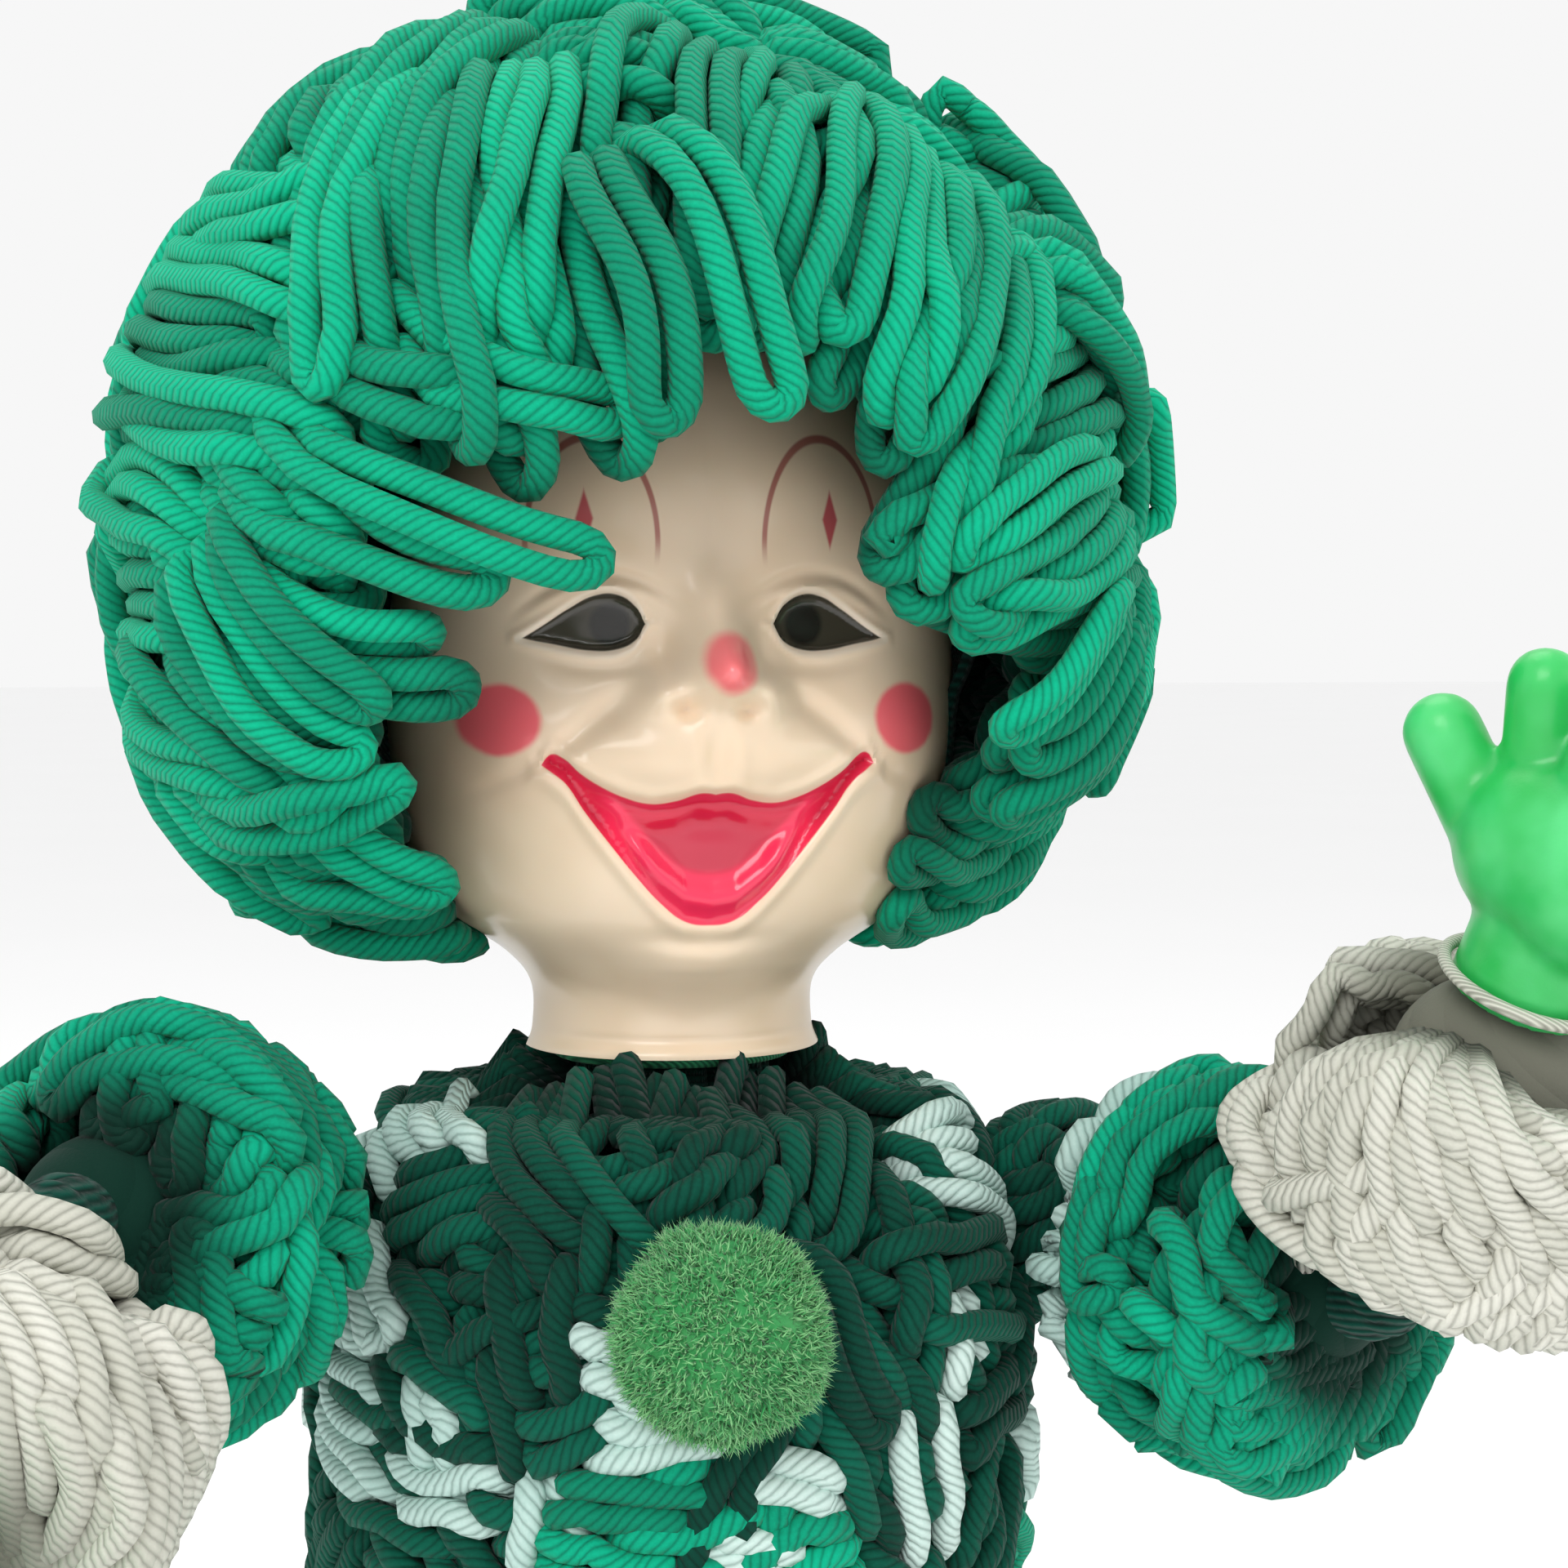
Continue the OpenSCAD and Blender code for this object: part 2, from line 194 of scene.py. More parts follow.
def newMaterial(name):
    mat = bpy.data.materials.new(name)
    mat.use_nodes = True
    tree = mat.node_tree
    return mat, tree, tree.nodes["Principled BSDF"]


def addNode(tree, kind, **settings):
    node = tree.nodes.new(kind)
    for key, value in settings.items():
        setattr(node, key, value)
    return node


def objectCoords(tree):
    return addNode(tree, "ShaderNodeTexCoord").outputs["Object"]


def attributeOf(tree, name):
    return addNode(tree, "ShaderNodeAttribute", attribute_name=name).outputs["Fac"]


def splitAxes(tree, socket):
    node = addNode(tree, "ShaderNodeSeparateXYZ")
    tree.links.new(socket, node.inputs[0])
    return node.outputs


# one Math node; a, b and c are numbers or sockets
def calc(tree, operation, a, b=None, c=None, clamp=False):
    node = addNode(tree, "ShaderNodeMath", operation=operation, use_clamp=clamp)
    for i, v in enumerate((a, b, c)):
        if v is None:
            continue
        if isinstance(v, (int, float)):
            node.inputs[i].default_value = v
        else:
            tree.links.new(v, node.inputs[i])
    return node.outputs[0]


def mixColour(tree, factor, a, b, blend="MIX"):
    node = addNode(tree, "ShaderNodeMix", data_type="RGBA", blend_type=blend)
    for socket, v in ((node.inputs[0], factor), (node.inputs[6], a), (node.inputs[7], b)):
        if isinstance(v, (int, float)):
            socket.default_value = v
        elif isinstance(v, (tuple, list)):
            socket.default_value = (*v, 1) if len(v) == 3 else v
        else:
            tree.links.new(v, socket)
    return node.outputs[2]


def smoothStep(tree, value, low, high, toLow=0.0, toHigh=1.0):
    node = addNode(tree, "ShaderNodeMapRange", interpolation_type="SMOOTHSTEP")
    tree.links.new(value, node.inputs["Value"])
    for key, v in (("From Min", low), ("From Max", high), ("To Min", toLow), ("To Max", toHigh)):
        node.inputs[key].default_value = v
    return node.outputs[0]


def noiseAt(tree, coords, scale, detail=3, rough=0.5):
    node = addNode(tree, "ShaderNodeTexNoise")
    node.inputs["Scale"].default_value = scale
    node.inputs["Detail"].default_value = detail
    node.inputs["Roughness"].default_value = rough
    tree.links.new(coords, node.inputs["Vector"])
    return node.outputs["Fac"]


# colour and bump from sockets, everything else as plain values on the shader
def finishShader(tree, shader, colour, height, strength, distance, **values):
    node = addNode(tree, "ShaderNodeBump")
    node.inputs["Strength"].default_value = strength
    node.inputs["Distance"].default_value = distance
    tree.links.new(height, node.inputs["Height"])
    tree.links.new(node.outputs["Normal"], shader.inputs["Normal"])
    tree.links.new(colour, shader.inputs["Base Color"])
    for key, value in values.items():
        shader.inputs[shaderSockets[key]].default_value = value


shaderSockets = {
    "rough": "Roughness",
    "specular": "Specular IOR Level",
    "metallic": "Metallic",
    "sheen": "Sheen Weight",
    "sheenRough": "Sheen Roughness",
    "coat": "Coat Weight",
    "coatRough": "Coat Roughness",
    "glow": "Subsurface Weight",
    "glowRadius": "Subsurface Radius",
    "glowScale": "Subsurface Scale",
}


# screen colour to the linear values that a shader takes
def linear(*rgb):
    shares = [c / 255 for c in rgb]
    return tuple(c / 12.92 if c <= 0.04045 else ((c + 0.055) / 1.055) ** 2.4 for c in shares)


camera = {
    "target": (0.012, -0.040, 0.281),
    "azimuth": -11.0,
    "elevation": 3.0,
    "distance": 0.480,
    "lens": 69.2,
}

az, el = math.radians(camera["azimuth"]), math.radians(camera["elevation"])
back = Vector((math.sin(az) * math.cos(el), -math.cos(az) * math.cos(el), math.sin(el)))
bpy.ops.object.camera_add(location=Vector(camera["target"]) + back * camera["distance"])
cam = bpy.context.object
cam.rotation_euler = back.to_track_quat("Z", "Y").to_euler()
cam.data.lens = camera["lens"]
cam.data.sensor_width = 36
cam.data.clip_start = 0.01
cam.data.dof.use_dof = False
bpy.context.scene.camera = cam
print("camera set")


# Every pile is made the same way: locks of loops are laid over a rounded base, then settled for a set number of rounds
# that push crossing strands apart, and each loop becomes a tube with a plied surface.
yarn = {
    "radius": 2.55 * mm,       # half the thickness of the rug yarn
    "sides": 8,
    "points": 30,              # points along one loop
    "layLength": 10.5 * mm,    # one full twist of the plies
    "plies": 6,
}

loopShape = {
    "gap": 1.06,               # half the distance between a loop's strands, in yarn radii
    "climb": 0.24,             # share of the length that a loop takes to come up from the base
    "tuckFrom": 0.55,          # share of the length where the tip starts to dip
    "tuckOver": 0.45,
    "crowding": 1.5,           # points stand closer together round the tip
    "bulgeLength": 8 * mm,
    "sway": (7 * mm, 6 * mm),  # how far apart the bends are, sideways and in height
    "swayHeight": 0.7 * mm,
}

# how one lock is laid unless it says otherwise
lockDefaults = {"bottom": 0.0, "curl": 0, "lean": 5, "spread": 1.0, "stand": 0, "twist": 22, "bulge": 0.35,
                "tuck": 6 * mm, "wander": 1.1 * mm}

settling = {
    "push": 0.28,              # share of an overlap that one round clears
    "step": 1.2 * mm,          # furthest move in a round
    "smooth": 0.16,
    "spring": 0.42,            # share of a stretch that one round takes back
    "pull": 0.05,              # share of the way back to where a strand was laid
    "pinned": 2,               # points held at each end
}


# nearest place and outward direction on a base: a rod with round ends
def onBase(base, p):
    a, b = base["from"], base["to"]
    ab = b - a
    span = float(np.dot(ab, ab))
    t = np.clip(((p - a) @ ab) / span, 0, 1)[..., None] if span > 0 else 0
    centre = a + t * ab
    out = p - centre
    n = out / np.maximum(np.linalg.norm(out, axis=-1, keepdims=True), 1e-9)
    return centre + n * base["radius"], n


def turned(direction, side, angle):
    return direction * math.cos(angle) + side * math.sin(angle)


# rows of a table at places between them
def between(share, grid, table):
    return np.stack([np.interp(share, grid, table[:, k]) for k in range(3)], 1)


def pushOut(p, mid, radius):
    d = p - mid
    r = np.linalg.norm(d, axis=1)
    near = r < radius
    p[near] = mid + d[near] / np.maximum(r[near, None], 1e-6) * radius


# the line that a lock follows over its base
def lockLine(base, start, fall, length, curl, level, steps=24):
    p, t = np.array(start, float), np.array(fall, float)
    line = []
    turn = math.radians(curl) / steps
    for i in range(steps + 1):
        foot, n = onBase(base, p)
        p = foot + n * level
        t = unit(t - n * np.dot(t, n))
        side = np.cross(n, t)
        line.append((p, n, t, side))
        t = turned(t, side, turn)
        p = p + t * length / steps
    return [np.array(c) for c in zip(*line)]


# loops of one lock, as points in space: a runs along the lock, b across it, h above the base
def makeLock(base, rng, lock):
    lock = {**lockDefaults, **lock}
    length, count, top, bottom = lock["length"], lock["loops"], lock["top"], lock["bottom"]
    places, normals, ahead, sides = lockLine(base, lock["start"], lock["fall"], length, lock["curl"], top * 0.8)
    grid = np.linspace(0, 1, len(places))
    made = []
    gap = yarn["radius"] * loopShape["gap"]
    for i in range(count):
        reach = length * (1 + rng.uniform(-0.2, 0.1))
        lean = math.tan(math.radians(rng.normal(0, lock["lean"])))
        mid = (i - (count - 1) / 2) * 4 * gap * lock["spread"] + rng.normal(0, 0.5 * mm)
        twist = math.radians(lock["stand"] + rng.normal(0, lock["twist"]))
        level = top + rng.normal(0, 1.2 * mm)
        run = reach - gap
        total = 2 * run + math.pi * gap
        u = np.linspace(-1, 1, yarn["points"])
        s = total * (0.5 + 0.5 * np.sign(u) * np.abs(u) ** loopShape["crowding"])
        bend = np.clip((s - run) / gap, 0, math.pi)
        a = np.where(s < run, s, np.where(s > run + math.pi * gap, total - s, run + gap * np.sin(bend)))
        tip = 1 + lock["bulge"] * np.exp(-((s - total / 2) / loopShape["bulgeLength"]) ** 2)
        b = -gap * tip * np.cos(bend)
        share = np.clip(a / reach, 0, 1)
        rise = np.clip(share / loopShape["climb"], 0, 1)
        h = bottom + (level - bottom) * np.sin(rise * math.pi / 2)
        dip = np.clip((share - loopShape["tuckFrom"]) / loopShape["tuckOver"], 0, 1)
        h = h - lock["tuck"] * dip ** 2
        h = np.maximum(h + b * math.sin(twist), 0)
        closeIn = 0.35 + 0.65 * np.clip(share / 0.3, 0, 1)
        b = mid * closeIn + b * math.cos(twist) * (0.6 + 0.4 * closeIn)
        wave = rng.uniform(0, 6.28, 4)
        aside, above = (np.sin(a / apart + start) for apart, start in zip(loopShape["sway"], wave))
        b = b + lean * a + lock["wander"] * aside * np.clip(share * 2, 0, 1)
        h = h + loopShape["swayHeight"] * above
        share = np.clip(a / length, 0, 1.15)
        p = between(share, grid, places) + between(share, grid, ahead) * np.maximum(a - length, 0)[:, None]
        foot, n = onBase(base, p + between(share, grid, sides) * b[:, None])
        made.append(foot + n * h[:, None])
    return made


# pairs of points closer than reach, by sorting them into boxes
def closePairs(p, reach):
    cell = np.floor(p / reach).astype(np.int64) + 4096
    key = (cell[:, 0] << 42) + (cell[:, 1] << 21) + cell[:, 2]
    order = np.argsort(key, kind="stable")
    ordered = key[order]
    firsts, seconds = [], []
    beside = (-1, 0, 1)
    for step in ((dx << 42) + (dy << 21) + dz for dx in beside for dy in beside for dz in beside):
        if step < 0:
            continue
        low = np.searchsorted(ordered, ordered + step, "left")
        high = np.searchsorted(ordered, ordered + step, "right")
        n = high - low
        i = np.repeat(np.arange(len(p)), n)
        j = np.arange(n.sum()) - np.repeat(np.cumsum(n) - n, n) + np.repeat(low, n)
        if step == 0:
            keep = i < j
            i, j = i[keep], j[keep]
        firsts.append(order[i])
        seconds.append(order[j])
    i, j = np.concatenate(firsts), np.concatenate(seconds)
    d = p[j] - p[i]
    close = (d * d).sum(1) < reach * reach
    return i[close], j[close], d[close]


# pushes strands apart, keeps their length and smooths them; limit is how far a point may stray
def settle(loops, rounds, keepOut, limit=7 * mm):
    x = np.array(loops)
    laid = x.copy()
    count, n = x.shape[:2]
    reach = 2 * yarn["radius"]
    pinned = settling["pinned"]
    rest = np.linalg.norm(x[:, 1:] - x[:, :-1], axis=2)
    held = np.concatenate([x[:, :pinned], x[:, -pinned:]], 1)
    strand = np.repeat(np.arange(count), n)
    index = np.tile(np.arange(n), count)
    for step in range(rounds):
        flat = x.reshape(-1, 3)
        i, j, d = closePairs(flat, reach)
        apart = (strand[i] != strand[j]) | (np.abs(index[i] - index[j]) > 3)
        i, j, d = i[apart], j[apart], d[apart]
        dist = np.maximum(np.linalg.norm(d, axis=1), 1e-6)
        push = d / dist[:, None] * ((reach - dist) * settling["push"])[:, None]
        move = np.zeros_like(flat)
        for k in range(3):
            move[:, k] = np.bincount(j, push[:, k], len(flat)) - np.bincount(i, push[:, k], len(flat))
        size = np.linalg.norm(move, axis=1, keepdims=True)
        move *= np.minimum(1, settling["step"] / np.maximum(size, 1e-9))
        x = (flat + move).reshape(count, n, 3)
        x[:, 1:-1] += settling["smooth"] * ((x[:, 2:] + x[:, :-2]) / 2 - x[:, 1:-1])
        for again in range(2):
            seg = x[:, 1:] - x[:, :-1]
            length = np.maximum(np.linalg.norm(seg, axis=2, keepdims=True), 1e-9)
            fix = seg * (settling["spring"] * (1 - rest[:, :, None] / length))
            x[:, :-1] += fix
            x[:, 1:] -= fix
        away = x - laid
        far = np.linalg.norm(away, axis=2, keepdims=True)
        x = laid + away * np.minimum(1 - settling["pull"], limit / np.maximum(far, 1e-9))
        x = keepOut(x.reshape(-1, 3)).reshape(count, n, 3)
        x[:, :pinned], x[:, -pinned:] = held[:, :pinned], held[:, pinned:]
    return x


# tubes along the settled loops, with their own UV map and two attributes for the material: depth, the height in the
# pile that the material turns into painted shade, and a random tone per loop
def yarnMesh(name, loops, base, top, rng):
    x = np.array(loops)
    count, n = x.shape[:2]
    k = yarn["sides"]
    t = unit(np.gradient(x, axis=1))
    u = unit(np.cross(t[:, 0], np.array([0.31, 0.57, 0.76])))
    frames = []
    for i in range(n):
        u = unit(u - t[:, i] * (u * t[:, i]).sum(1, keepdims=True))
        frames.append(u)
    u = np.stack(frames, 1)
    v = np.cross(t, u)
    angle = np.arange(k) / k * 2 * math.pi
    radius = yarn["radius"] * rng.uniform(0.93, 1.07, (count, 1, 1, 1))
    ring = u[:, :, None] * np.cos(angle)[:, None] + v[:, :, None] * np.sin(angle)[:, None]
    points = (x[:, :, None] + ring * radius).reshape(-1, 3)
    first = np.arange(count)[:, None, None] * n * k + np.arange(n - 1)[None, :, None] * k
    around = np.arange(k)
    a = first + around
    b = first + (around + 1) % k
    quads = np.stack([a, b, b + k, a + k], -1).reshape(-1, 4)
    along = np.concatenate([np.zeros((count, 1)), np.cumsum(np.linalg.norm(x[:, 1:] - x[:, :-1], axis=2), 1)], 1)
    along = along / yarn["layLength"] + rng.uniform(0, 1, (count, 1))
    u0 = np.broadcast_to(around / k, (count, n - 1, k))
    v0 = np.broadcast_to(along[:, :-1, None], (count, n - 1, k))
    v1 = np.broadcast_to(along[:, 1:, None], (count, n - 1, k))
    uv = np.stack([np.stack([u0, v0], -1), np.stack([u0 + 1 / k, v0], -1),
                   np.stack([u0 + 1 / k, v1], -1), np.stack([u0, v1], -1)], -2).reshape(-1, 2)
    ends = np.arange(count)[:, None] * n * k
    caps = np.concatenate([ends + around[::-1], ends + (n - 1) * k + around])
    starts = np.concatenate([np.arange(len(quads)) * 4, quads.size + np.arange(len(caps)) * k])
    obj = meshObject(name, points, np.concatenate([quads.ravel(), caps.ravel()]), starts)
    layer = obj.data.uv_layers.new(name="strand")
    layer.data.foreach_set("uv", np.concatenate([uv, np.zeros((caps.size, 2))]).ravel())
    flat = x.reshape(-1, 3)
    foot, out = onBase(base, flat)
    addAttribute(obj, "depth", np.repeat(np.clip(((flat - foot) * out).sum(1) / top, 0, 1.2), k))
    addAttribute(obj, "tone", np.repeat(rng.uniform(0, 1, count), n * k))
    obj.data.validate()
    smoothShade(obj)
    return obj


# what lies under the strands, so that no light shows through a pile; its depth is set low, so the material gives it the
# dark painted shade colour of the deepest strands
def yarnBed(name, base, grow):
    start = Vector(base["from"])
    span = Vector(base["to"]) - start
    place = Matrix.Translation(start)
    deselectAll()
    bpy.ops.mesh.primitive_uv_sphere_add(segments=48, ring_count=28, radius=base["radius"] + grow)
    obj = named(name)
    if span.length > 0:
        co = meshPoints(obj)
        co[co[:, 2] > 1e-6, 2] += span.length
        setMeshPoints(obj, co)
        place = place @ span.to_track_quat("Z", "Y").to_matrix().to_4x4()
    placeMesh(obj, place)
    smoothShade(obj)
    addAttribute(obj, "depth", 0.15)
    addAttribute(obj, "tone", 0.4)
    obj.data.uv_layers[0].name = "strand"
    return obj


def yarnMaterial(name, dark, colour, light):
    mat, tree, shader = newMaterial(name)
    around, along, unused = splitAxes(tree, addNode(tree, "ShaderNodeUVMap", uv_map="strand").outputs[0])
    turns = calc(tree, "MULTIPLY", around, yarn["plies"])
    turns = calc(tree, "MULTIPLY_ADD", along, yarn["plies"], turns)
    wave = calc(tree, "PINGPONG", turns, 0.5)
    ridge = calc(tree, "SINE", calc(tree, "MULTIPLY", wave, math.pi))
    coords = objectCoords(tree)
    fibre = noiseAt(tree, coords, 1500, 3, 0.6)
    patch = noiseAt(tree, coords, 45, 2, 0.5)
    tone = attributeOf(tree, "tone")
    depth = attributeOf(tree, "depth")
    shade = calc(tree, "MULTIPLY_ADD", tone, 0.5, calc(tree, "MULTIPLY", patch, 0.5))
    lit = calc(tree, "MULTIPLY_ADD", fibre, 0.3, calc(tree, "MULTIPLY", shade, 0.9))
    lit = smoothStep(tree, lit, 0.3, 0.95)
    body = mixColour(tree, lit, colour, light)
    # painted shade: where the ridge value is low, in the grooves between the plies, the colour is darkened towards the
    # dark colour
    grooveShade = smoothStep(tree, ridge, 0.05, 0.75)
    body = mixColour(tree, grooveShade, mixColour(tree, 0.38, body, dark), body)
    # painted shade: the lower a point lies in the pile, the more its colour turns to the dark colour
    depthShade = smoothStep(tree, depth, 0.15, 0.95)
    body = mixColour(tree, depthShade, dark, body)
    finishShader(tree, shader, body, calc(tree, "MULTIPLY_ADD", fibre, 0.28, ridge), 0.65, 0.5 * mm,
                 rough=0.82, specular=0.16, sheen=0.07, sheenRough=0.45)
    return mat


# painted shade deep between the strands and in the grooves of the plies, the colour on them, and where they catch the
# light
yarnColours = {
    "hair": ((0, 50, 37), (0, 134, 101), (0, 184, 140)),
    "green": ((0, 44, 33), (0, 126, 96), (0, 178, 138)),
    "dark": ((0, 14, 10), (0, 60, 47), (2, 98, 77)),
    "white": ((70, 108, 98), (178, 210, 202), (216, 236, 229)),
    "cream": ((110, 110, 98), (196, 196, 183), (220, 219, 208)),
}
yarnMaterials = {key: yarnMaterial(key + "Yarn", *(linear(*c) for c in colours)) for key, colours in yarnColours.items()}
print("yarn colours ready")


# a pile rides on its body and stands for its node
def finishPile(obj, colour, body, node, bed=None):
    if bed is not None:
        obj = joinAll([obj, bed], obj.name)
    declare(obj, body, node, yarnMaterials[colour])


hairMid = nodeMid("head_core") + np.array([-6 * mm, 0, 4 * mm])
hairBase = {"from": hairMid, "to": hairMid, "radius": 66 * mm}


# longitude 0 is the front and grows towards +X, latitude grows upwards
def onHair(lon, lat):
    lo, la = math.radians(lon), math.radians(lat)
    return np.array([math.sin(lo) * math.cos(la), -math.cos(lo) * math.cos(la), math.sin(la)])


hair = {
    "top": 20 * mm,            # height of the outer strands above the base
    "seed": 11,
    # root lon, root lat, tip lon, tip lat, loops, curl
    "front": [
        # crown swirl and the long loops over the forehead
        (-14, 76, -44, 58, 3, 14), (-34, 60, -2, 66, 3, -20), (-28, 52, 0, 56, 2, -24), (0, 40, 16, 58, 3, 170),
        (-40, 58, -40, 12, 4, 8), (-36, 60, -28, 5, 4, -6), (-36, 50, -27, 6, 3, -8), (-28, 52, -17, 10, 3, -16),
        (-14, 44, -1, 14, 2, -20), (-46, 46, -32, 12, 3, 10),
        (24, 74, -2, 38, 3, 12), (32, 62, 8, 24, 4, 14), (42, 52, 14, 13, 4, 12), (54, 44, 23, 4, 4, 10),
        (58, 36, 30, 12, 3, -14), (-50, 74, -46, 30, 4, 16), (-60, 58, -40, 42, 3, -18),
        # nested arcs and the long strands over the side of the forehead
        (-92, 44, -50, 34, 5, -60), (-90, 28, -44, 26, 4, 44), (-44, 34, -74, 40, 3, 70),
        (-92, 18, -44, 10, 5, 12), (-90, 6, -46, -3, 4, -10), (-54, 20, -19, 4, 4, 40), (-60, 10, -38, 1, 2, 20),
        (-60, -4, -34, -14, 2, 34), (-50, -8, -80, 0, 3, 120), (-98, -8, -46, -16, 4, 12), (-92, -16, -44, -22, 3, 8),
        (-84, -12, -52, -40, 4, -12), (-98, -22, -58, -50, 5, -14), (-72, -18, -50, -44, 3, -10),
        (-76, -30, -54, -54, 3, 14), (-110, -14, -96, -46, 3, -10), (-60, 2, -42, -22, 3, 12),
        # right of the face
        (74, 24, 30, 16, 3, -10), (72, 14, 29, 2, 4, 10), (60, 4, 30, -10, 3, 14), (76, -2, 36, -8, 3, -16),
        (60, -6, 42, -26, 3, -14), (88, -12, 56, -18, 3, 14), (88, -20, 66, -36, 4, 14), (84, -30, 66, -50, 3, -12),
        (72, -12, 54, -34, 3, 12), (64, 40, 92, 30, 3, 24), (80, 26, 96, -6, 3, 12), (88, 4, 98, -22, 3, -12),
        (90, -24, 82, -46, 3, 14), (52, 62, 78, 46, 3, 16), (34, 74, 66, 66, 3, 20), (44, 30, 66, 14, 3, -40),
        # outer edges
        (-100, 34, -96, 4, 3, 12), (-108, 6, -100, -24, 3, -10), (-72, 50, -100, 34, 3, -14),
        (-62, 78, -84, 60, 3, -16), (6, 86, -30, 74, 3, 20), (-24, 84, 20, 78, 2, 40),
    ],
    # single open loops that stand off the outline
    "looseTop": 24 * mm,
    "loose": [
        (-101, 56, -100, 80), (-103, 14, -101, 30), (-100, -28, -104, -10), (-60, 66, -20, 76), (-104, 38, -96, 52),
        (79, 58, 80, 80), (80, 36, 77, 52), (82, -2, 80, 14), (80, -12, 84, -30), (40, 78, 90, 80),
        (150, 50, 170, 30), (-150, 20, -165, 2), (175, 0, 160, -18), (120, 20, 132, 2), (-125, -8, -120, -28),
    ],
    # an even scatter fills the rest; it keeps clear of the face and of the lower edge
    "scatter": 200,
    "scatterLengths": (36, 58),
    "shortest": 22 * mm,
    "faceHalf": 78,
    "faceTop": 56,
    "lowestRoot": -36,
    "lowestTip": -54,
    "lowered": 8 * mm,         # the scatter lies this much lower under the front locks
}


# root, direction and arc length of a lock between two places on the hair
def hairArc(lon, lat, tipLon, tipLat, height):
    a, b = onHair(lon, lat), onHair(tipLon, tipLat)
    arc = math.acos(float(np.clip(a @ b, -1, 1))) * (hairBase["radius"] + height)
    return a, unit((b - a) - a * ((b - a) @ a)), arc


def hairLocks(rng):
    locks, loose = [], []
    for lon, lat, tipLon, tipLat, loops, curl in hair["front"]:
        a, fall, reach = hairArc(lon, lat, tipLon, tipLat, hair["top"])
        fall = turned(fall, np.cross(a, fall), math.radians(-curl / 2))
        length = max(reach * (1 + abs(curl) / 220), 26 * mm)
        locks.append({"start": hairMid + a * hairBase["radius"], "fall": fall, "length": length, "loops": loops,
                      "top": hair["top"] + rng.uniform(-5.0, 4.0) * mm, "bottom": 2 * mm, "curl": curl})
    for ends in hair["loose"]:
        a, fall, length = hairArc(*ends, hair["looseTop"])
        loose.append({"start": hairMid + a * hairBase["radius"], "fall": fall, "length": length, "loops": 1,
                      "top": hair["looseTop"], "bottom": 4 * mm, "curl": 14, "stand": 78, "bulge": 1.7, "tuck": 0.0})
    golden = math.pi * (3 - math.sqrt(5))
    down = np.array([0, 0, -1.0])
    for i in range(hair["scatter"]):
        z = 1 - 2 * (i + 0.5) / hair["scatter"]
        r = math.sqrt(1 - z * z)
        d = np.array([r * math.cos(golden * i), r * math.sin(golden * i), z])
        lon = math.degrees(math.atan2(d[0], -d[1]))
        lat = math.degrees(math.asin(d[2]))
        if abs(lon) < hair["faceHalf"] and lat < hair["faceTop"] or lat < hair["lowestRoot"]:
            continue
        spin = rng.uniform(-75, 75) if lat < 60 else rng.uniform(-180, 180)
        fall = unit(down - d * (down @ d))
        fall = turned(fall, np.cross(d, fall), math.radians(spin))
        room = math.radians(lat - hair["lowestTip"]) * (hairBase["radius"] + hair["top"]) / max(0.3, float(-fall[2]))
        length = min(rng.uniform(*hair["scatterLengths"]) * mm, room if fall[2] < 0 else 1.0)
        if length < hair["shortest"]:
            continue
        locks.append({"start": hairMid + d * hairBase["radius"], "fall": fall, "length": length,
                      "loops": int(rng.integers(3, 5)), "curl": rng.uniform(-60, 60), "bottom": 1 * mm,
                      "top": hair["top"] - hair["lowered"] if abs(lon) < 95
                      else hair["top"] + rng.uniform(-3, 2) * mm})
    return locks + loose


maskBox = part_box("face_mask")
rimZ = maskBox[0][2]

face = {
    "wall": 1.5 * mm,
    "across": 186,
    "up": 228,
    "halfTurn": 88.0,
    # share of the height, share of half the width, depth in mm
    "rows": [
        (0.000, 0.520, 25.4), (0.030, 0.497, 24.2), (0.090, 0.502, 24.3), (0.135, 0.590, 30.5),
        (0.200, 0.810, 38.5), (0.290, 0.935, 42.5), (0.400, 0.985, 44.0), (0.520, 1.000, 43.0),
        (0.660, 0.970, 42.5), (0.800, 0.885, 40.0), (0.920, 0.720, 33.5), (1.000, 0.540, 25.5),
    ],
}
faceWidth = maskBox[1][0] - maskBox[0][0]
faceHeight = maskBox[1][2] - maskBox[0][2]


def smoothRows(column, t):
    rows = np.array(face["rows"])[:, column]
    last = len(rows) - 1
    i = np.minimum(last - 1, np.floor(t).astype(int))
    u = t - i
    p0, p1, p2, p3 = (rows[np.clip(i + k, 0, last)] for k in (-1, 0, 1, 2))
    return p1 + 0.5 * u * (p2 - p0 + u * (2 * p0 - 5 * p1 + 4 * p2 - p3 + u * (3 * (p1 - p2) + p3 - p0)))


rowSteps = np.linspace(0, len(face["rows"]) - 1, 2000)
rowHeight = smoothRows(0, rowSteps) * faceHeight
rowHalf = smoothRows(1, rowSteps) * faceWidth / 2
rowDepth = smoothRows(2, rowSteps) * mm


# keeps points outside the mask's outline by a margin
def outsideMask(p, margin):
    z = p[:, 2] - rimZ
    half = np.interp(z, rowHeight, rowHalf) + margin
    deep = np.interp(z, rowHeight, rowDepth) + margin
    inZ = (z > -6 * mm) & (z < faceHeight + 2 * mm)
    front = p[:, 1] < 2 * mm
    share = np.sqrt((p[:, 0] / half) ** 2 + (p[:, 1] / deep) ** 2)
    inside = inZ & front & (share < 1)
    q = p.copy()
    q[inside, :2] *= (1 / np.maximum(share[inside], 0.05))[:, None]
    return q


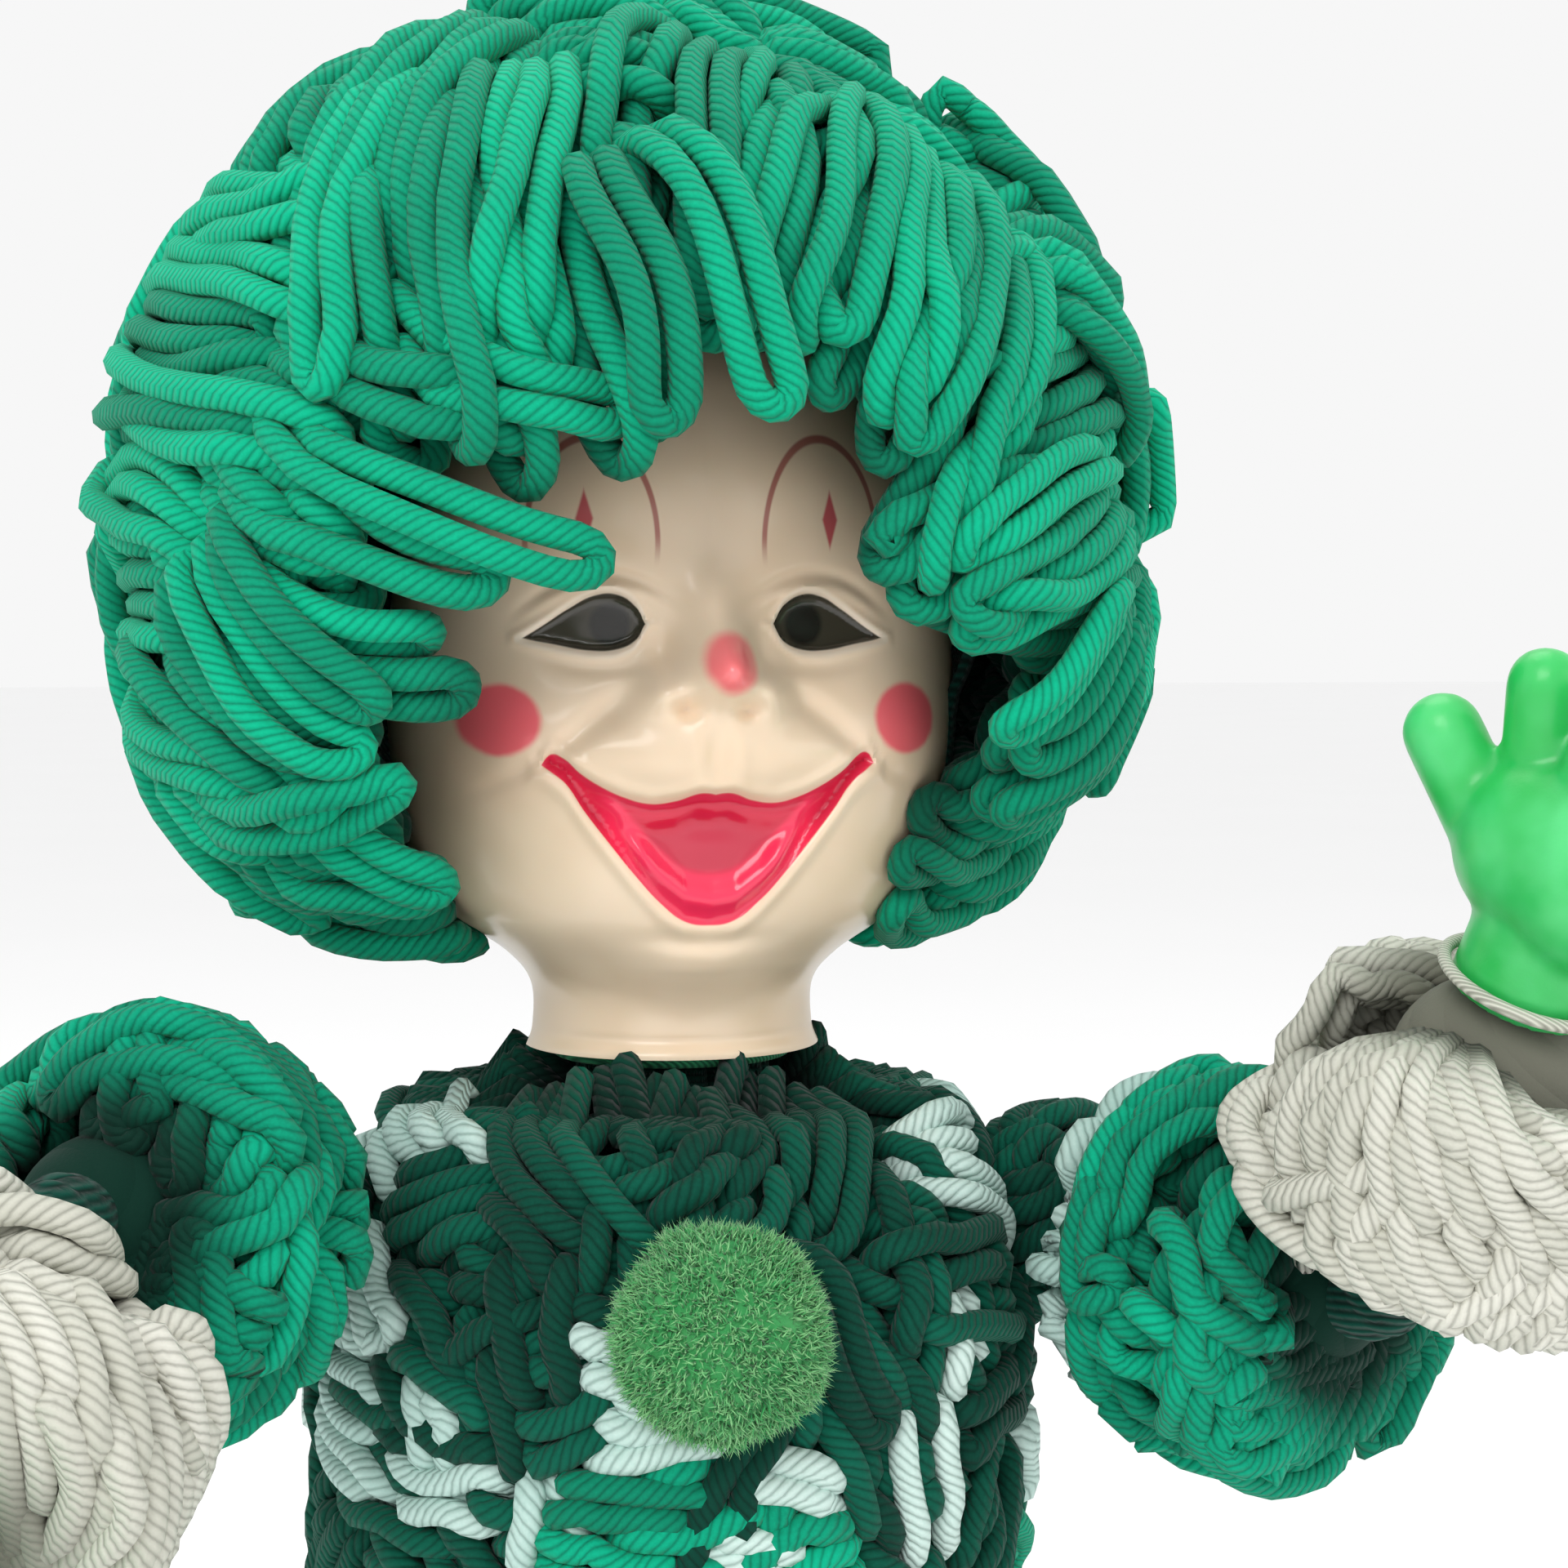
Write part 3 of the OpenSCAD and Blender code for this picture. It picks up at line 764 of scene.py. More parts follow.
def keepHairOut(p):
    p = outsideMask(p, 3.2 * mm)
    out = p - hairMid
    r = np.linalg.norm(out, axis=1, keepdims=True)
    low, high = hairBase["radius"] + 1 * mm, hairBase["radius"] + hair["top"] + 6 * mm
    p = hairMid + out / np.maximum(r, 1e-6) * np.clip(r, low, high)
    # nothing hangs low enough to meet the shoulders
    p[:, 2] = np.maximum(p[:, 2], neckPivot[2] + 15 * mm)
    return p


# the cloth that the hair is sewn to fills the gaps between the locks
deselectAll()
bpy.ops.mesh.primitive_uv_sphere_add(segments=72, ring_count=48, radius=hairBase["radius"] - 3 * mm)
hairCloth = named("hairCloth")
bpy.ops.object.mode_set(mode="EDIT")
shell = bmesh.from_edit_mesh(hairCloth.data)
for patch in shell.faces:
    c = patch.calc_center_median()
    lon = math.degrees(math.atan2(c.x, -c.y))
    lat = math.degrees(math.asin(max(-1, min(1, c.z / c.length))))
    patch.select = (abs(lon) < 66 and -60 < lat < 8) or (abs(lon) < 48 and 8 <= lat < 30) or lat < -46
bmesh.update_edit_mesh(hairCloth.data)
bpy.ops.mesh.delete(type="FACE")
bpy.ops.object.mode_set(mode="OBJECT")
setMeshPoints(hairCloth, outsideMask(meshPoints(hairCloth) + hairMid, 0.8 * mm))
addWall(hairCloth, 1.4 * mm)
smoothShade(hairCloth)

rng = np.random.default_rng(hair["seed"])
strands = []
for lock in hairLocks(rng):
    strands += makeLock(hairBase, rng, lock)
print("hair loops:", len(strands))
strands = settle(strands, 36, keepHairOut)

# each loop goes to the part of the hair that its middle lies in
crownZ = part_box("hair_crown")[0][2]
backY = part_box("hair_back")[0][1]
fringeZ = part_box("hair_fringe_left")[0][2]
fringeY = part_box("hair_fringe_left")[1][1]
middle = strands[:, yarn["points"] // 2 - 8]
hairParts = {}
for i, m in enumerate(middle):
    if m[2] > crownZ:
        part = "hair_crown"
    elif m[1] > backY:
        part = "hair_back" if m[2] > hairMid[2] else "hair_nape"
    else:
        side = "left" if m[0] > 0 else "right"
        part = ("hair_fringe_" if m[1] < fringeY and m[2] > fringeZ else "hair_side_") + side
    hairParts.setdefault(part, []).append(i)

for part, members in sorted(hairParts.items()):
    pile = yarnMesh(camelName(part) + "Yarn", strands[members], hairBase, hair["top"], rng)
    finishPile(pile, "hair", "head", part)
    print(part, len(members), "loops")
print("hair done")


def soft(x, z, cx, cz, wx, wz):
    return np.exp(-((x - cx) / wx) ** 2 - ((z - cz) / wz) ** 2)


def easeIn(v, low, high):
    t = np.clip((v - low) / (high - low), 0, 1)
    return t * t * (3 - 2 * t)


# edges of the painted shapes in mm: distance from the middle, height above the neck rim
features = {
    "mouthTop": [(0, 44.9), (2.5, 45.1), (6, 43.9), (10, 43.4), (14, 44.4), (18, 46.3), (21, 48.3), (23.5, 50.6),
                 (25.2, 51.2), (26.4, 50.0), (27.2, 47.6)],
    "mouthLow": [(0, 23.4), (4, 24.1), (8, 27.2), (12, 31.6), (16, 36.6), (20, 41.8), (23, 46.2), (25.2, 48.0),
                 (26.4, 48.9), (27.2, 49.6)],
    "eyeTop": [(9.6, 70.2), (10.3, 71.7), (12, 74.6), (15, 76.3), (18, 76.1), (22, 74.0), (26, 71.3), (29.2, 69.3),
               (30.4, 68.6)],
    "eyeLow": [(9.6, 72.4), (10.3, 71.2), (12, 68.5), (15, 67.2), (19, 67.1), (24, 68.0), (29.2, 69.1), (30.4, 69.6)],
    "cheek": (33.0, 56.3, 6.2, 5.7),
    "nose": (1.7, 65.4, 4.3, 4.7),
    "brow": (18.5, 84.0, 10.0, 17.0),
    "diamond": (19.7, 88.0, 1.4, 4.8),
}


def curveAt(name, x):
    pts = np.array(features[name])
    return np.interp(np.abs(x), pts[:, 0], pts[:, 1], left=pts[0, 1], right=pts[-1, 1])


# how far the surface stands out at x, z in mm, before the paint
def faceRelief(x, z):
    ax = np.abs(x)
    r = 9.8 * soft(x, z, 1.4, 64.8, 5.2, 5.2) + 3.4 * soft(x, z, 0.3, 72, 4.6, 8)
    r += 4.8 * soft(x, z, 0.4, 61.2, 9.5, 4.8)
    r += 4.2 * soft(ax, z, 8.8, 60.4, 3.6, 3.7) - 1.6 * soft(ax, z, 7.4, 66.5, 2.2, 3.4)
    r -= 2.6 * soft(ax, z, 4.6, 58.2, 2.1, 1.5)
    # round upper lip, with the groove under the nose
    puff = ((x / 20) ** 2 + ((z - 51) / 6.8) ** 2)
    r += 4.4 * np.exp(-puff ** 1.7)
    r -= 0.9 * soft(x, z, 0, 51.5, 1.7, 4.2)
    r += 0.5 * soft(ax, z, 3.6, 51, 1.6, 4)
    # fold from the wing of the nose to the corner of the mouth, and the cheek beyond it
    fold = 11.5 + (62.5 - z) * 0.98 + 0.02 * (62.5 - z) ** 2
    inFold = easeIn(z, 40, 52) * (1 - easeIn(z, 57, 67))
    r -= 1.5 * inFold * np.exp(-((ax - fold) / 3.2) ** 2)
    r += 5.4 * soft(ax, z, 31, 54, 13.5, 12.5) + 1.6 * soft(ax, z, 37, 52, 8, 8)
    # eyes: socket, ball, lid crease, rim
    r -= 4.2 * soft(ax, z, 17.5, 71, 10.5, 6.4)
    r += 1.9 * soft(ax, z, 17.5, 71.4, 7.5, 4.2)
    crease = 79.4 - 0.035 * (ax - 17) ** 2
    r -= 0.8 * np.exp(-((z - crease) / 1.0) ** 2) * np.exp(-((ax - 18) / 10.5) ** 4)
    r += 1.0 * np.exp(-((z - crease + 2.0) / 1.3) ** 2) * np.exp(-((ax - 18) / 9.5) ** 4)
    r -= 0.5 * np.exp(-((z - (64.2 + 0.02 * (ax - 17) ** 2)) / 1.1) ** 2) * np.exp(-((ax - 17) / 8.5) ** 4)
    r += 2.0 * soft(ax, z, 17, 95, 15, 12) - 0.8 * soft(x, z, 0, 82, 5, 9)
    # chin and the hollow under the lower lip
    r += 5.2 * soft(x, z, 0, 15.5, 12.5, 6.5) - 1.3 * soft(x, z, 0, 21.0, 9, 1.8)
    # eye opening
    inside = np.minimum(curveAt("eyeTop", x) - z, z - curveAt("eyeLow", x))
    r -= 1.1 * easeIn(inside, -0.1, 0.9) * (ax > 9) * (ax < 31)
    r += 0.55 * np.exp(-((inside + 0.9) / 0.7) ** 2) * (ax > 8.5) * (ax < 31)
    # mouth: a raised edge, a step down, then both lips inside it
    up, low = curveAt("mouthTop", x) - z, z - curveAt("mouthLow", x)
    inside = np.minimum(np.minimum(up, low * 0.72), (27.0 - ax) * 1.5)
    r += 0.8 * np.exp(-((inside + 1.2) / 1.2) ** 2)
    r -= 2.5 * easeIn(inside, -0.2, 1.7)
    r += 3.7 * easeIn(inside, 0, 1.4) * np.exp(-((low - 4.0) / 3.2) ** 2) * (1 - easeIn(ax, 10, 17))
    r += 1.5 * easeIn(inside, 0, 1.2) * np.exp(-((up - 2.4) / 1.9) ** 2) * (1 - easeIn(ax, 15, 22))
    r += 0.9 * easeIn(inside, 0, 1.2) * soft(x, z, 0, 35.5, 8, 4)
    # a thin lip runs round the neck's lower edge
    r += 0.7 * np.exp(-((z - 0.9) / 0.9) ** 2) - 0.35 * np.exp(-((z - 3.0) / 0.7) ** 2)
    return r


deselectAll()
bpy.ops.mesh.primitive_grid_add(x_subdivisions=face["across"], y_subdivisions=face["up"], size=2)
mask = named("faceMask")
flat = meshPoints(mask)
turn = np.radians(face["halfTurn"]) * (0.72 * flat[:, 0] + 0.28 * flat[:, 0] ** 3)
up = (flat[:, 1] + 1) / 2 * faceHeight
half = np.interp(up, rowHeight, rowHalf)
deep = np.interp(up, rowHeight, rowDepth)
across = half * np.sin(turn)
stand = faceRelief(across / mm, up / mm) * mm
setMeshPoints(mask, np.stack([across, -(deep + stand) * np.cos(turn), rimZ + up], 1))
turnOutwards(mask)
# the middle of the open grid must look towards the front
middleFace = min(mask.data.polygons, key=lambda f: abs(f.center.x) + abs(f.center.z - rimZ - 0.09))
if middleFace.normal.y > 0:
    mask.data.flip_normals()
addWall(mask, face["wall"])
smoothShade(mask, 50)
print("face mask:", len(mask.data.polygons), "faces")


# a painted edge as a curve over x; both ends of the range are in mm
def edgeCurve(tree, x, name, spanX, spanZ):
    pts = features[name]
    node = addNode(tree, "ShaderNodeFloatCurve")
    curve = node.mapping.curves[0]
    wide, tall = spanX[1] - spanX[0], spanZ[1] - spanZ[0]
    places = [((px - spanX[0]) / wide, (pz - spanZ[0]) / tall) for px, pz in pts]
    places = [(max(0.0, min(1.0, u)), v) for u, v in places]
    curve.points[0].location = (0, places[0][1])
    curve.points[1].location = (1, places[-1][1])
    for u, v in places:
        if 0.001 < u < 0.999:
            curve.points.new(u, v)
    node.mapping.update()
    scaled = calc(tree, "MULTIPLY_ADD", x, 1 / wide, -spanX[0] / wide, clamp=True)
    tree.links.new(scaled, node.inputs["Value"])
    return calc(tree, "MULTIPLY_ADD", node.outputs[0], tall, spanZ[0])


def ellipseAt(tree, x, z, spec):
    cx, cz, rx, rz = spec
    dx = calc(tree, "MULTIPLY", calc(tree, "SUBTRACT", x, cx), 1 / rx)
    dz = calc(tree, "MULTIPLY", calc(tree, "SUBTRACT", z, cz), 1 / rz)
    return calc(tree, "SQRT", calc(tree, "ADD", calc(tree, "MULTIPLY", dx, dx), calc(tree, "MULTIPLY", dz, dz)))


# the mask's plastic with all its paint; x, z and the sizes are in mm, as in the features
def facePlasticMaterial():
    mat, tree, shader = newMaterial("facePlastic")
    coords = objectCoords(tree)
    acrossAxis, depthAxis, heightAxis = splitAxes(tree, coords)
    side = calc(tree, "MULTIPLY", acrossAxis, 1000)
    x = calc(tree, "ABSOLUTE", side)
    z = calc(tree, "MULTIPLY_ADD", heightAxis, 1000, -rimZ * 1000)
    front = calc(tree, "LESS_THAN", depthAxis, -0.004)

    def times(a, b):
        return calc(tree, "MULTIPLY", a, b)

    def minus(a, b):
        return calc(tree, "SUBTRACT", a, b)

    def step(value, low, high, toLow=0.0, toHigh=1.0):
        return smoothStep(tree, value, low, high, toLow, toHigh)

    def paintOn(under, factor, colour):
        return mixColour(tree, factor, under, colour)

    mottle = noiseAt(tree, coords, 26, 3, 0.55)
    speck = noiseAt(tree, coords, 240, 2, 0.5)
    skin = mixColour(tree, step(mottle, 0.3, 0.7), linear(228, 202, 172), linear(240, 216, 189))
    blush = step(ellipseAt(tree, x, z, (34, 52, 16, 15)), 0.2, 1.0, 0.16, 0.0)
    skin = paintOn(skin, blush, linear(238, 176, 150))
    # brows and diamonds
    brow = ellipseAt(tree, x, z, features["brow"])
    browEdge = times(calc(tree, "ABSOLUTE", minus(brow, 1.0)), 11)
    browMask = times(step(browEdge, 0.25, 0.65, 1, 0), step(z, 80, 86))
    cx, cz, rx, rz = features["diamond"]
    gem = calc(tree, "ADD", times(calc(tree, "ABSOLUTE", minus(x, cx)), 1 / rx),
               times(calc(tree, "ABSOLUTE", minus(z, cz)), 1 / rz))
    skin = paintOn(skin, times(browMask, 0.8), linear(158, 62, 62))
    skin = paintOn(skin, times(step(gem, 0.75, 1.15, 1, 0), 0.9), linear(190, 62, 78))
    # cheeks and nose, a little worn at their edges
    cheek = calc(tree, "MULTIPLY_ADD", speck, 0.12, ellipseAt(tree, x, z, features["cheek"]))
    skin = paintOn(skin, step(cheek, 0.93, 1.17, 0.96, 0), linear(246, 100, 112))
    nose = calc(tree, "MULTIPLY_ADD", speck, 0.14, ellipseAt(tree, side, z, features["nose"]))
    skin = paintOn(skin, step(nose, 0.85, 1.3, 0.92, 0), linear(250, 112, 120))
    # eyes
    top = edgeCurve(tree, x, "eyeTop", (9.6, 30.4), (64, 80))
    low = edgeCurve(tree, x, "eyeLow", (9.6, 30.4), (64, 80))
    inEye = calc(tree, "MINIMUM", minus(top, z), minus(z, low))
    within = times(calc(tree, "GREATER_THAN", x, 9.7), calc(tree, "LESS_THAN", x, 30.3))
    within = times(within, front)
    # painted highlight: a pale rim round each eye, where the raised lid edge catches the light
    lid = times(step(inEye, -1.5, -0.5), within)
    skin = paintOn(skin, times(lid, 0.35), linear(250, 240, 228))
    iris = step(ellipseAt(tree, x, z, (15.6, 71.4, 3.4, 3.6)), 0.75, 1.1)
    eyeColour = mixColour(tree, iris, linear(34, 32, 28), linear(62, 58, 48))
    eye = times(step(inEye, 0.0, 0.35), within)
    skin = paintOn(skin, eye, eyeColour)
    # mouth
    top = edgeCurve(tree, x, "mouthTop", (0, 27.2), (20, 56))
    low = edgeCurve(tree, x, "mouthLow", (0, 27.2), (20, 56))
    fromTop, fromLow = minus(top, z), minus(z, low)
    inMouth = calc(tree, "MINIMUM", fromTop, fromLow)
    red = mixColour(tree, step(fromTop, 3.0, 6.5), linear(214, 30, 66), linear(196, 40, 68))
    lipLow = times(step(fromLow, 7.5, 9.5, 1, 0), step(x, 15, 19, 1, 0))
    red = paintOn(red, lipLow, linear(244, 48, 88))
    red = paintOn(red, step(inMouth, 0.4, 1.9, 0.6, 0), linear(226, 52, 84))
    paint = times(step(inMouth, -0.05, 0.35), calc(tree, "LESS_THAN", x, 27.1))
    paint = times(paint, front)
    skin = paintOn(skin, paint, red)
    rough = calc(tree, "MULTIPLY_ADD", mottle, 0.1, 0.27)
    glossy = calc(tree, "MAXIMUM", paint, eye)
    tree.links.new(calc(tree, "MULTIPLY_ADD", glossy, -0.14, rough), shader.inputs["Roughness"])
    height = calc(tree, "MULTIPLY_ADD", mottle, 0.7, times(speck, 0.12))
    finishShader(tree, shader, skin, height, 0.25, 0.8 * mm, specular=0.5, coat=0.25, coatRough=0.12,
                 glow=0.12, glowRadius=(1.0, 0.5, 0.3), glowScale=0.003)
    return mat


declare(mask, "head", "face_mask", facePlasticMaterial())
print("face done")


# one rod with round ends carries all the piles of the body
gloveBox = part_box("glove")
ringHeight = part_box("skirt_loops")[0][2]
bodyBase = {"from": np.array([0, 0, -20 * mm]), "to": np.array([0, 0, 187 * mm]), "radius": 42 * mm}
bodyTop = 14.5 * mm
pompomMid = [nodeMid(n) for n in ("pompom_upper", "pompom_lower")]
pompomRadius = (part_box("pompom_upper")[1][0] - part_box("pompom_upper")[0][0]) / 2
shoulderMid = {s: nodeMid(s + "_shoulder_loops") for s in ("left", "right")}
shoulderRadius = (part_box("left_shoulder_loops")[1][0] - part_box("left_shoulder_loops")[0][0]) / 2


# angle in degrees from the front, growing towards +X; heading in degrees from straight down
def bodyLock(angle, z, heading, length, loops, top, curl, **more):
    a = math.radians(angle)
    out = np.array([math.sin(a), -math.cos(a), 0.0])
    tangent = np.array([math.cos(a), math.sin(a), 0.0])
    over = max(z * mm - bodyBase["to"][2], 0)      # above the rod's straight part the surface draws in
    around = math.sqrt(max(bodyBase["radius"] ** 2 - over ** 2, 1e-6))
    foot, n = onBase(bodyBase, np.array([0, 0, z * mm]) + out * around)
    h = math.radians(heading)
    fall = math.cos(h) * np.array([0, 0, -1.0]) + math.sin(h) * tangent
    lock = {"start": foot, "fall": unit(fall - n * float(fall @ n)), "length": length * mm, "loops": loops,
            "top": top, "curl": curl, "bottom": 1 * mm, "twist": 35, "tuck": 4 * mm}
    return {**lock, **more}


bodyPile = {
    "seed": 23,
    # ring number: rows start this high above the ring's lower edge, locks in a row, length, spread of headings
    "rows": {
        0: ([12, 25, 38], 12, (20, 32), 28), 1: ([16, 28, 40], 12, (28, 38), 26), 2: ([16, 28, 40], 12, (28, 38), 28),
        3: ([16, 29, 44], 12, (28, 38), 32), 4: ([12, 24, 37], 13, (28, 40), 75),
    },
    # the collar: row height, locks in the row, shortest and longest lock
    "collar": [(224, 9, 34, 46), (215, 12, 32, 44), (204, 13, 28, 40), (193, 12, 26, 36)],
    # node and colour of each ring, in the order of the ring numbers
    "nodes": [("hem_loops", "dark"), ("skirt_loops", "cream"), ("belly_loops", "green"), ("waist_loops", "green"),
              ("chest_loops_green", "dark"), ("collar_loops", "dark"), ("chest_loops_white", "white")],
    # the white bunches of the chest: angle, start height, heading, length, loops
    "whites": [
        (-88, 216, 72, 26, 2), (-78, 199, 50, 27, 2), (-50, 190, 20, 22, 1), (6, 187, -96, 36, 2), (-31, 181, 8, 26, 1),
        (-8, 171, 82, 30, 2), (50, 211, 62, 26, 2), (42, 197, 8, 24, 1), (36, 187, 4, 30, 2), (-82, 184, 60, 26, 2),
        (66, 176, 20, 26, 1), (-60, 172, 100, 26, 1),
        (104, 214, -40, 28, 2), (126, 196, 30, 28, 2), (150, 212, -70, 28, 2), (172, 188, 40, 28, 2),
        (-166, 208, 60, 28, 2), (-142, 190, -40, 28, 2), (-120, 208, 30, 26, 2), (-108, 182, 60, 26, 1),
    ],
    # bright tips under the chest: angle, start height, heading
    "tips": [(-34, 166, 70), (-22, 163, 88), (-12, 165, 30), (24, 164, -60)],
}
waistRing, collarRing, whiteRing = 3, 5, 6

rng = np.random.default_rng(bodyPile["seed"])
bodyStrands, bodyOwner = [], []


# keeps count of the ring that each loop belongs to
def addLock(lock, owner):
    made = makeLock(bodyBase, rng, lock)
    bodyStrands.extend(made)
    bodyOwner.extend([owner] * len(made))


for ring, (starts, perRow, lengths, swing) in bodyPile["rows"].items():
    for row, start in enumerate(starts):
        z = ring * ringHeight / mm + start
        for i in range(perRow):
            angle = (i + 0.5 * (row % 2) + rng.uniform(-0.2, 0.2)) / perRow * 360 + ring * 11
            length = min(rng.uniform(*lengths), z + 6)
            addLock(bodyLock(angle, z, rng.normal(0, swing), length, 3, bodyTop + rng.uniform(-2.5, 1.5) * mm,
                             rng.uniform(-70, 70), wander=1.6 * mm, lean=8), ring)
# the collar's first locks fall away from the neck, and the rows below lie more and more across them
for row, (z, perRow, low, high) in enumerate(bodyPile["collar"]):
    for i in range(perRow):
        angle = (i + 0.5 * (row % 2) + rng.uniform(-0.2, 0.2)) / perRow * 360
        addLock(bodyLock(angle, z, rng.normal(0, 24 + 22 * row), rng.uniform(low, high), 3,
                         bodyTop + rng.uniform(-3, 0.5) * mm, rng.uniform(-60, 60), wander=1.6 * mm, lean=8),
                collarRing)
for angle, z, heading, length, loops in bodyPile["whites"]:
    addLock(bodyLock(angle, z, heading, length, loops, bodyTop + 3.4 * mm, rng.uniform(-14, 14), tuck=7 * mm,
                     wander=0.4 * mm, lean=3, twist=12), whiteRing)
for angle, z, heading in bodyPile["tips"]:
    addLock(bodyLock(angle, z, heading, 30, 3, bodyTop + 2.5 * mm, rng.uniform(-50, 50)), waistRing)


def keepBodyOut(p):
    foot, n = onBase(bodyBase, p)
    h = ((p - foot) * n).sum(1)
    p = foot + n * np.clip(h, 1.5 * mm, bodyTop + 4.5 * mm)[:, None]
    pushOut(p, neckPivot, 27 * mm)
    for mid in shoulderMid.values():
        pushOut(p, mid, shoulderRadius + 4 * mm)
    for mid in pompomMid:
        pushOut(p, mid, pompomRadius + 1.6 * mm)
    p[:, 2] = np.clip(p[:, 2], yarn["radius"] + 0.2 * mm, gloveBox[1][2] + 4.5 * mm)
    return p


bodyStrands = settle(bodyStrands, 30, keepBodyOut, limit=9 * mm)
bodyOwner = np.array(bodyOwner)
print("body loops:", len(bodyStrands))
for owner, (node, colour) in enumerate(bodyPile["nodes"]):
    pile = yarnMesh(camelName(node) + "Yarn", bodyStrands[bodyOwner == owner], bodyBase, bodyTop, rng)
    finishPile(pile, colour, "torso", node)
print("body piles done")


# a fluffy ball: a rough core with thousands of short tapered fibres
pompom = {"fibres": 9000, "length": 4.4 * mm, "thick": 0.2 * mm, "core": 0.88}


def pompomMaterial():
    mat, tree, shader = newMaterial("pompomFluff")
    coords = objectCoords(tree)
    clump = noiseAt(tree, coords, 120, 3, 0.6)
    fine = noiseAt(tree, coords, 1400, 2, 0.6)
    tone = attributeOf(tree, "tone")
    depth = attributeOf(tree, "depth")
    lit = calc(tree, "MULTIPLY_ADD", tone, 0.5, calc(tree, "MULTIPLY", clump, 0.6))
    colour = mixColour(tree, smoothStep(tree, lit, 0.2, 0.85), linear(52, 164, 88), linear(150, 214, 146))
    # painted shade: the fibres turn to a darker green towards their roots
    colour = mixColour(tree, smoothStep(tree, depth, 0.0, 0.9), linear(24, 138, 72), colour)
    finishShader(tree, shader, colour, fine, 0.7, 0.3 * mm, rough=0.9, specular=0.15, sheen=0.25)
    return mat


fluff = pompomMaterial()


# how far the ball stands out in each direction
def lumpy(d):
    return 1 + 0.035 * np.sin(d @ np.array([5.1, 2.2, 3.3])) + 0.03 * np.sin(d @ np.array([-3.2, 6.1, 2.7]) + 1)


def makePompom(name, mid, seed):
    draw = np.random.default_rng(seed)
    count = pompom["fibres"]
    d = unit(draw.normal(size=(count, 3)))
    root = d * (pompomRadius * pompom["core"] * lumpy(d))[:, None]
    lean = unit(d + draw.normal(size=(count, 3)) * 0.42)
    size = pompom["length"] * draw.uniform(0.55, 1.0, count)
    middle = root + lean * (size * 0.55)[:, None]
    tip = middle + unit(lean + draw.normal(size=(count, 3)) * 0.6) * (size * 0.45)[:, None]
    u = unit(np.cross(lean, np.array([0.3, 0.5, 0.8])))
    v = np.cross(lean, u)
    points, tones, depths = [], [], []
    for place, width, deep in ((root, 1.0, 0.0), (middle, 0.75, 0.7)):
        for k in range(3):
            a = 2 * math.pi * k / 3
            points.append(place + (u * math.cos(a) + v * math.sin(a)) * pompom["thick"] * width)
            depths.append(np.full(count, deep))
    points.append(tip)
    depths.append(np.full(count, 1.0))
    co = np.stack(points, 1).reshape(-1, 3)
    first = np.arange(count)[:, None] * 7
    quads = np.concatenate([first + np.array([k, (k + 1) % 3, 3 + (k + 1) % 3, 3 + k]) for k in range(3)])
    tris = np.concatenate([first + np.array([3 + k, 3 + (k + 1) % 3, 6]) for k in range(3)]
                          + [first + np.array([0, 2, 1])])
    starts = np.concatenate([np.arange(len(quads)) * 4, quads.size + np.arange(len(tris)) * 3])
    fibres = meshObject(name, co, np.concatenate([quads.ravel(), tris.ravel()]), starts)
    addAttribute(fibres, "depth", np.stack(depths, 1).ravel())
    addAttribute(fibres, "tone", np.repeat(draw.uniform(0, 1, count), 7))
    fibres.data.validate()
    deselectAll()
    bpy.ops.mesh.primitive_ico_sphere_add(subdivisions=5, radius=pompomRadius * (pompom["core"] + 0.05))
    core = named(name + "Core")
    co = meshPoints(core)
    n = unit(co)
    bumps = 0.02 * np.sin(n @ np.array([31, 12, 22])) * np.sin(n @ np.array([-13, 29, 17]))
    setMeshPoints(core, co * (lumpy(n) + bumps)[:, None])
    # painted shade: the core gets a low depth, so it takes the darker green of the fibre roots
    addAttribute(core, "depth", 0.35)
    addAttribute(core, "tone", 0.4)
    smoothShade(core)
    ball = joinAll([fibres, core], name)
    placeMesh(ball, Matrix.Translation(Vector(mid)))
    return ball


for node, mid, seed in (("pompom_upper", pompomMid[0], 5), ("pompom_lower", pompomMid[1], 6)):
    ball = makePompom(camelName(node) + "Fluff", mid, seed)
    declare(ball, "torso", node, fluff)
print("pompoms done")


# arms: every pile is a ring or ball of loops round the arm's own line
arm = {
    "upperHalf": 17 * mm,
    "cuffHalf": 20 * mm,
    "seed": 41,
}


# locks spread evenly over a ring; they lie along its axis unless they are told to hang down
def ringLocks(base, axis, count, loops, lengths, top, draw, down=None, swing=90, **more):
    made = []
    span = base["to"] - base["from"]
    side = unit(np.cross(axis, np.array([0.1, 0.2, 1.0])))
    other = np.cross(axis, side)
    for i in range(count):
        share = (i * 0.618034) % 1
        a = i * 2.39996 + draw.uniform(-0.2, 0.2)
        out = side * math.cos(a) + other * math.sin(a)
        place = base["from"] + span * (share * 1.7 - 0.35) + out * base["radius"] * (0.75 if i % 4 == 0 else 1)
        foot, n = onBase(base, place)
        if down is None:
            h = math.radians(draw.uniform(-swing, swing) + draw.choice([0, 180]))
            around = unit(np.cross(n, axis))
            along = unit(np.cross(around, n))
            fall = along * math.cos(h) + around * math.sin(h)
        else:
            fall = np.array(down) + draw.normal(size=3) * 0.22
        fall = unit(fall - n * float(fall @ n))
        lock = {"start": foot, "fall": fall, "length": draw.uniform(*lengths), "loops": loops,
                "top": top + draw.uniform(-3, 1) * mm, "bottom": 1 * mm, "curl": draw.uniform(-110, 110),
                "twist": 40, "lean": 9, "wander": 1.8 * mm}
        lock.update(more)
        made += makeLock(base, draw, lock)
    return made


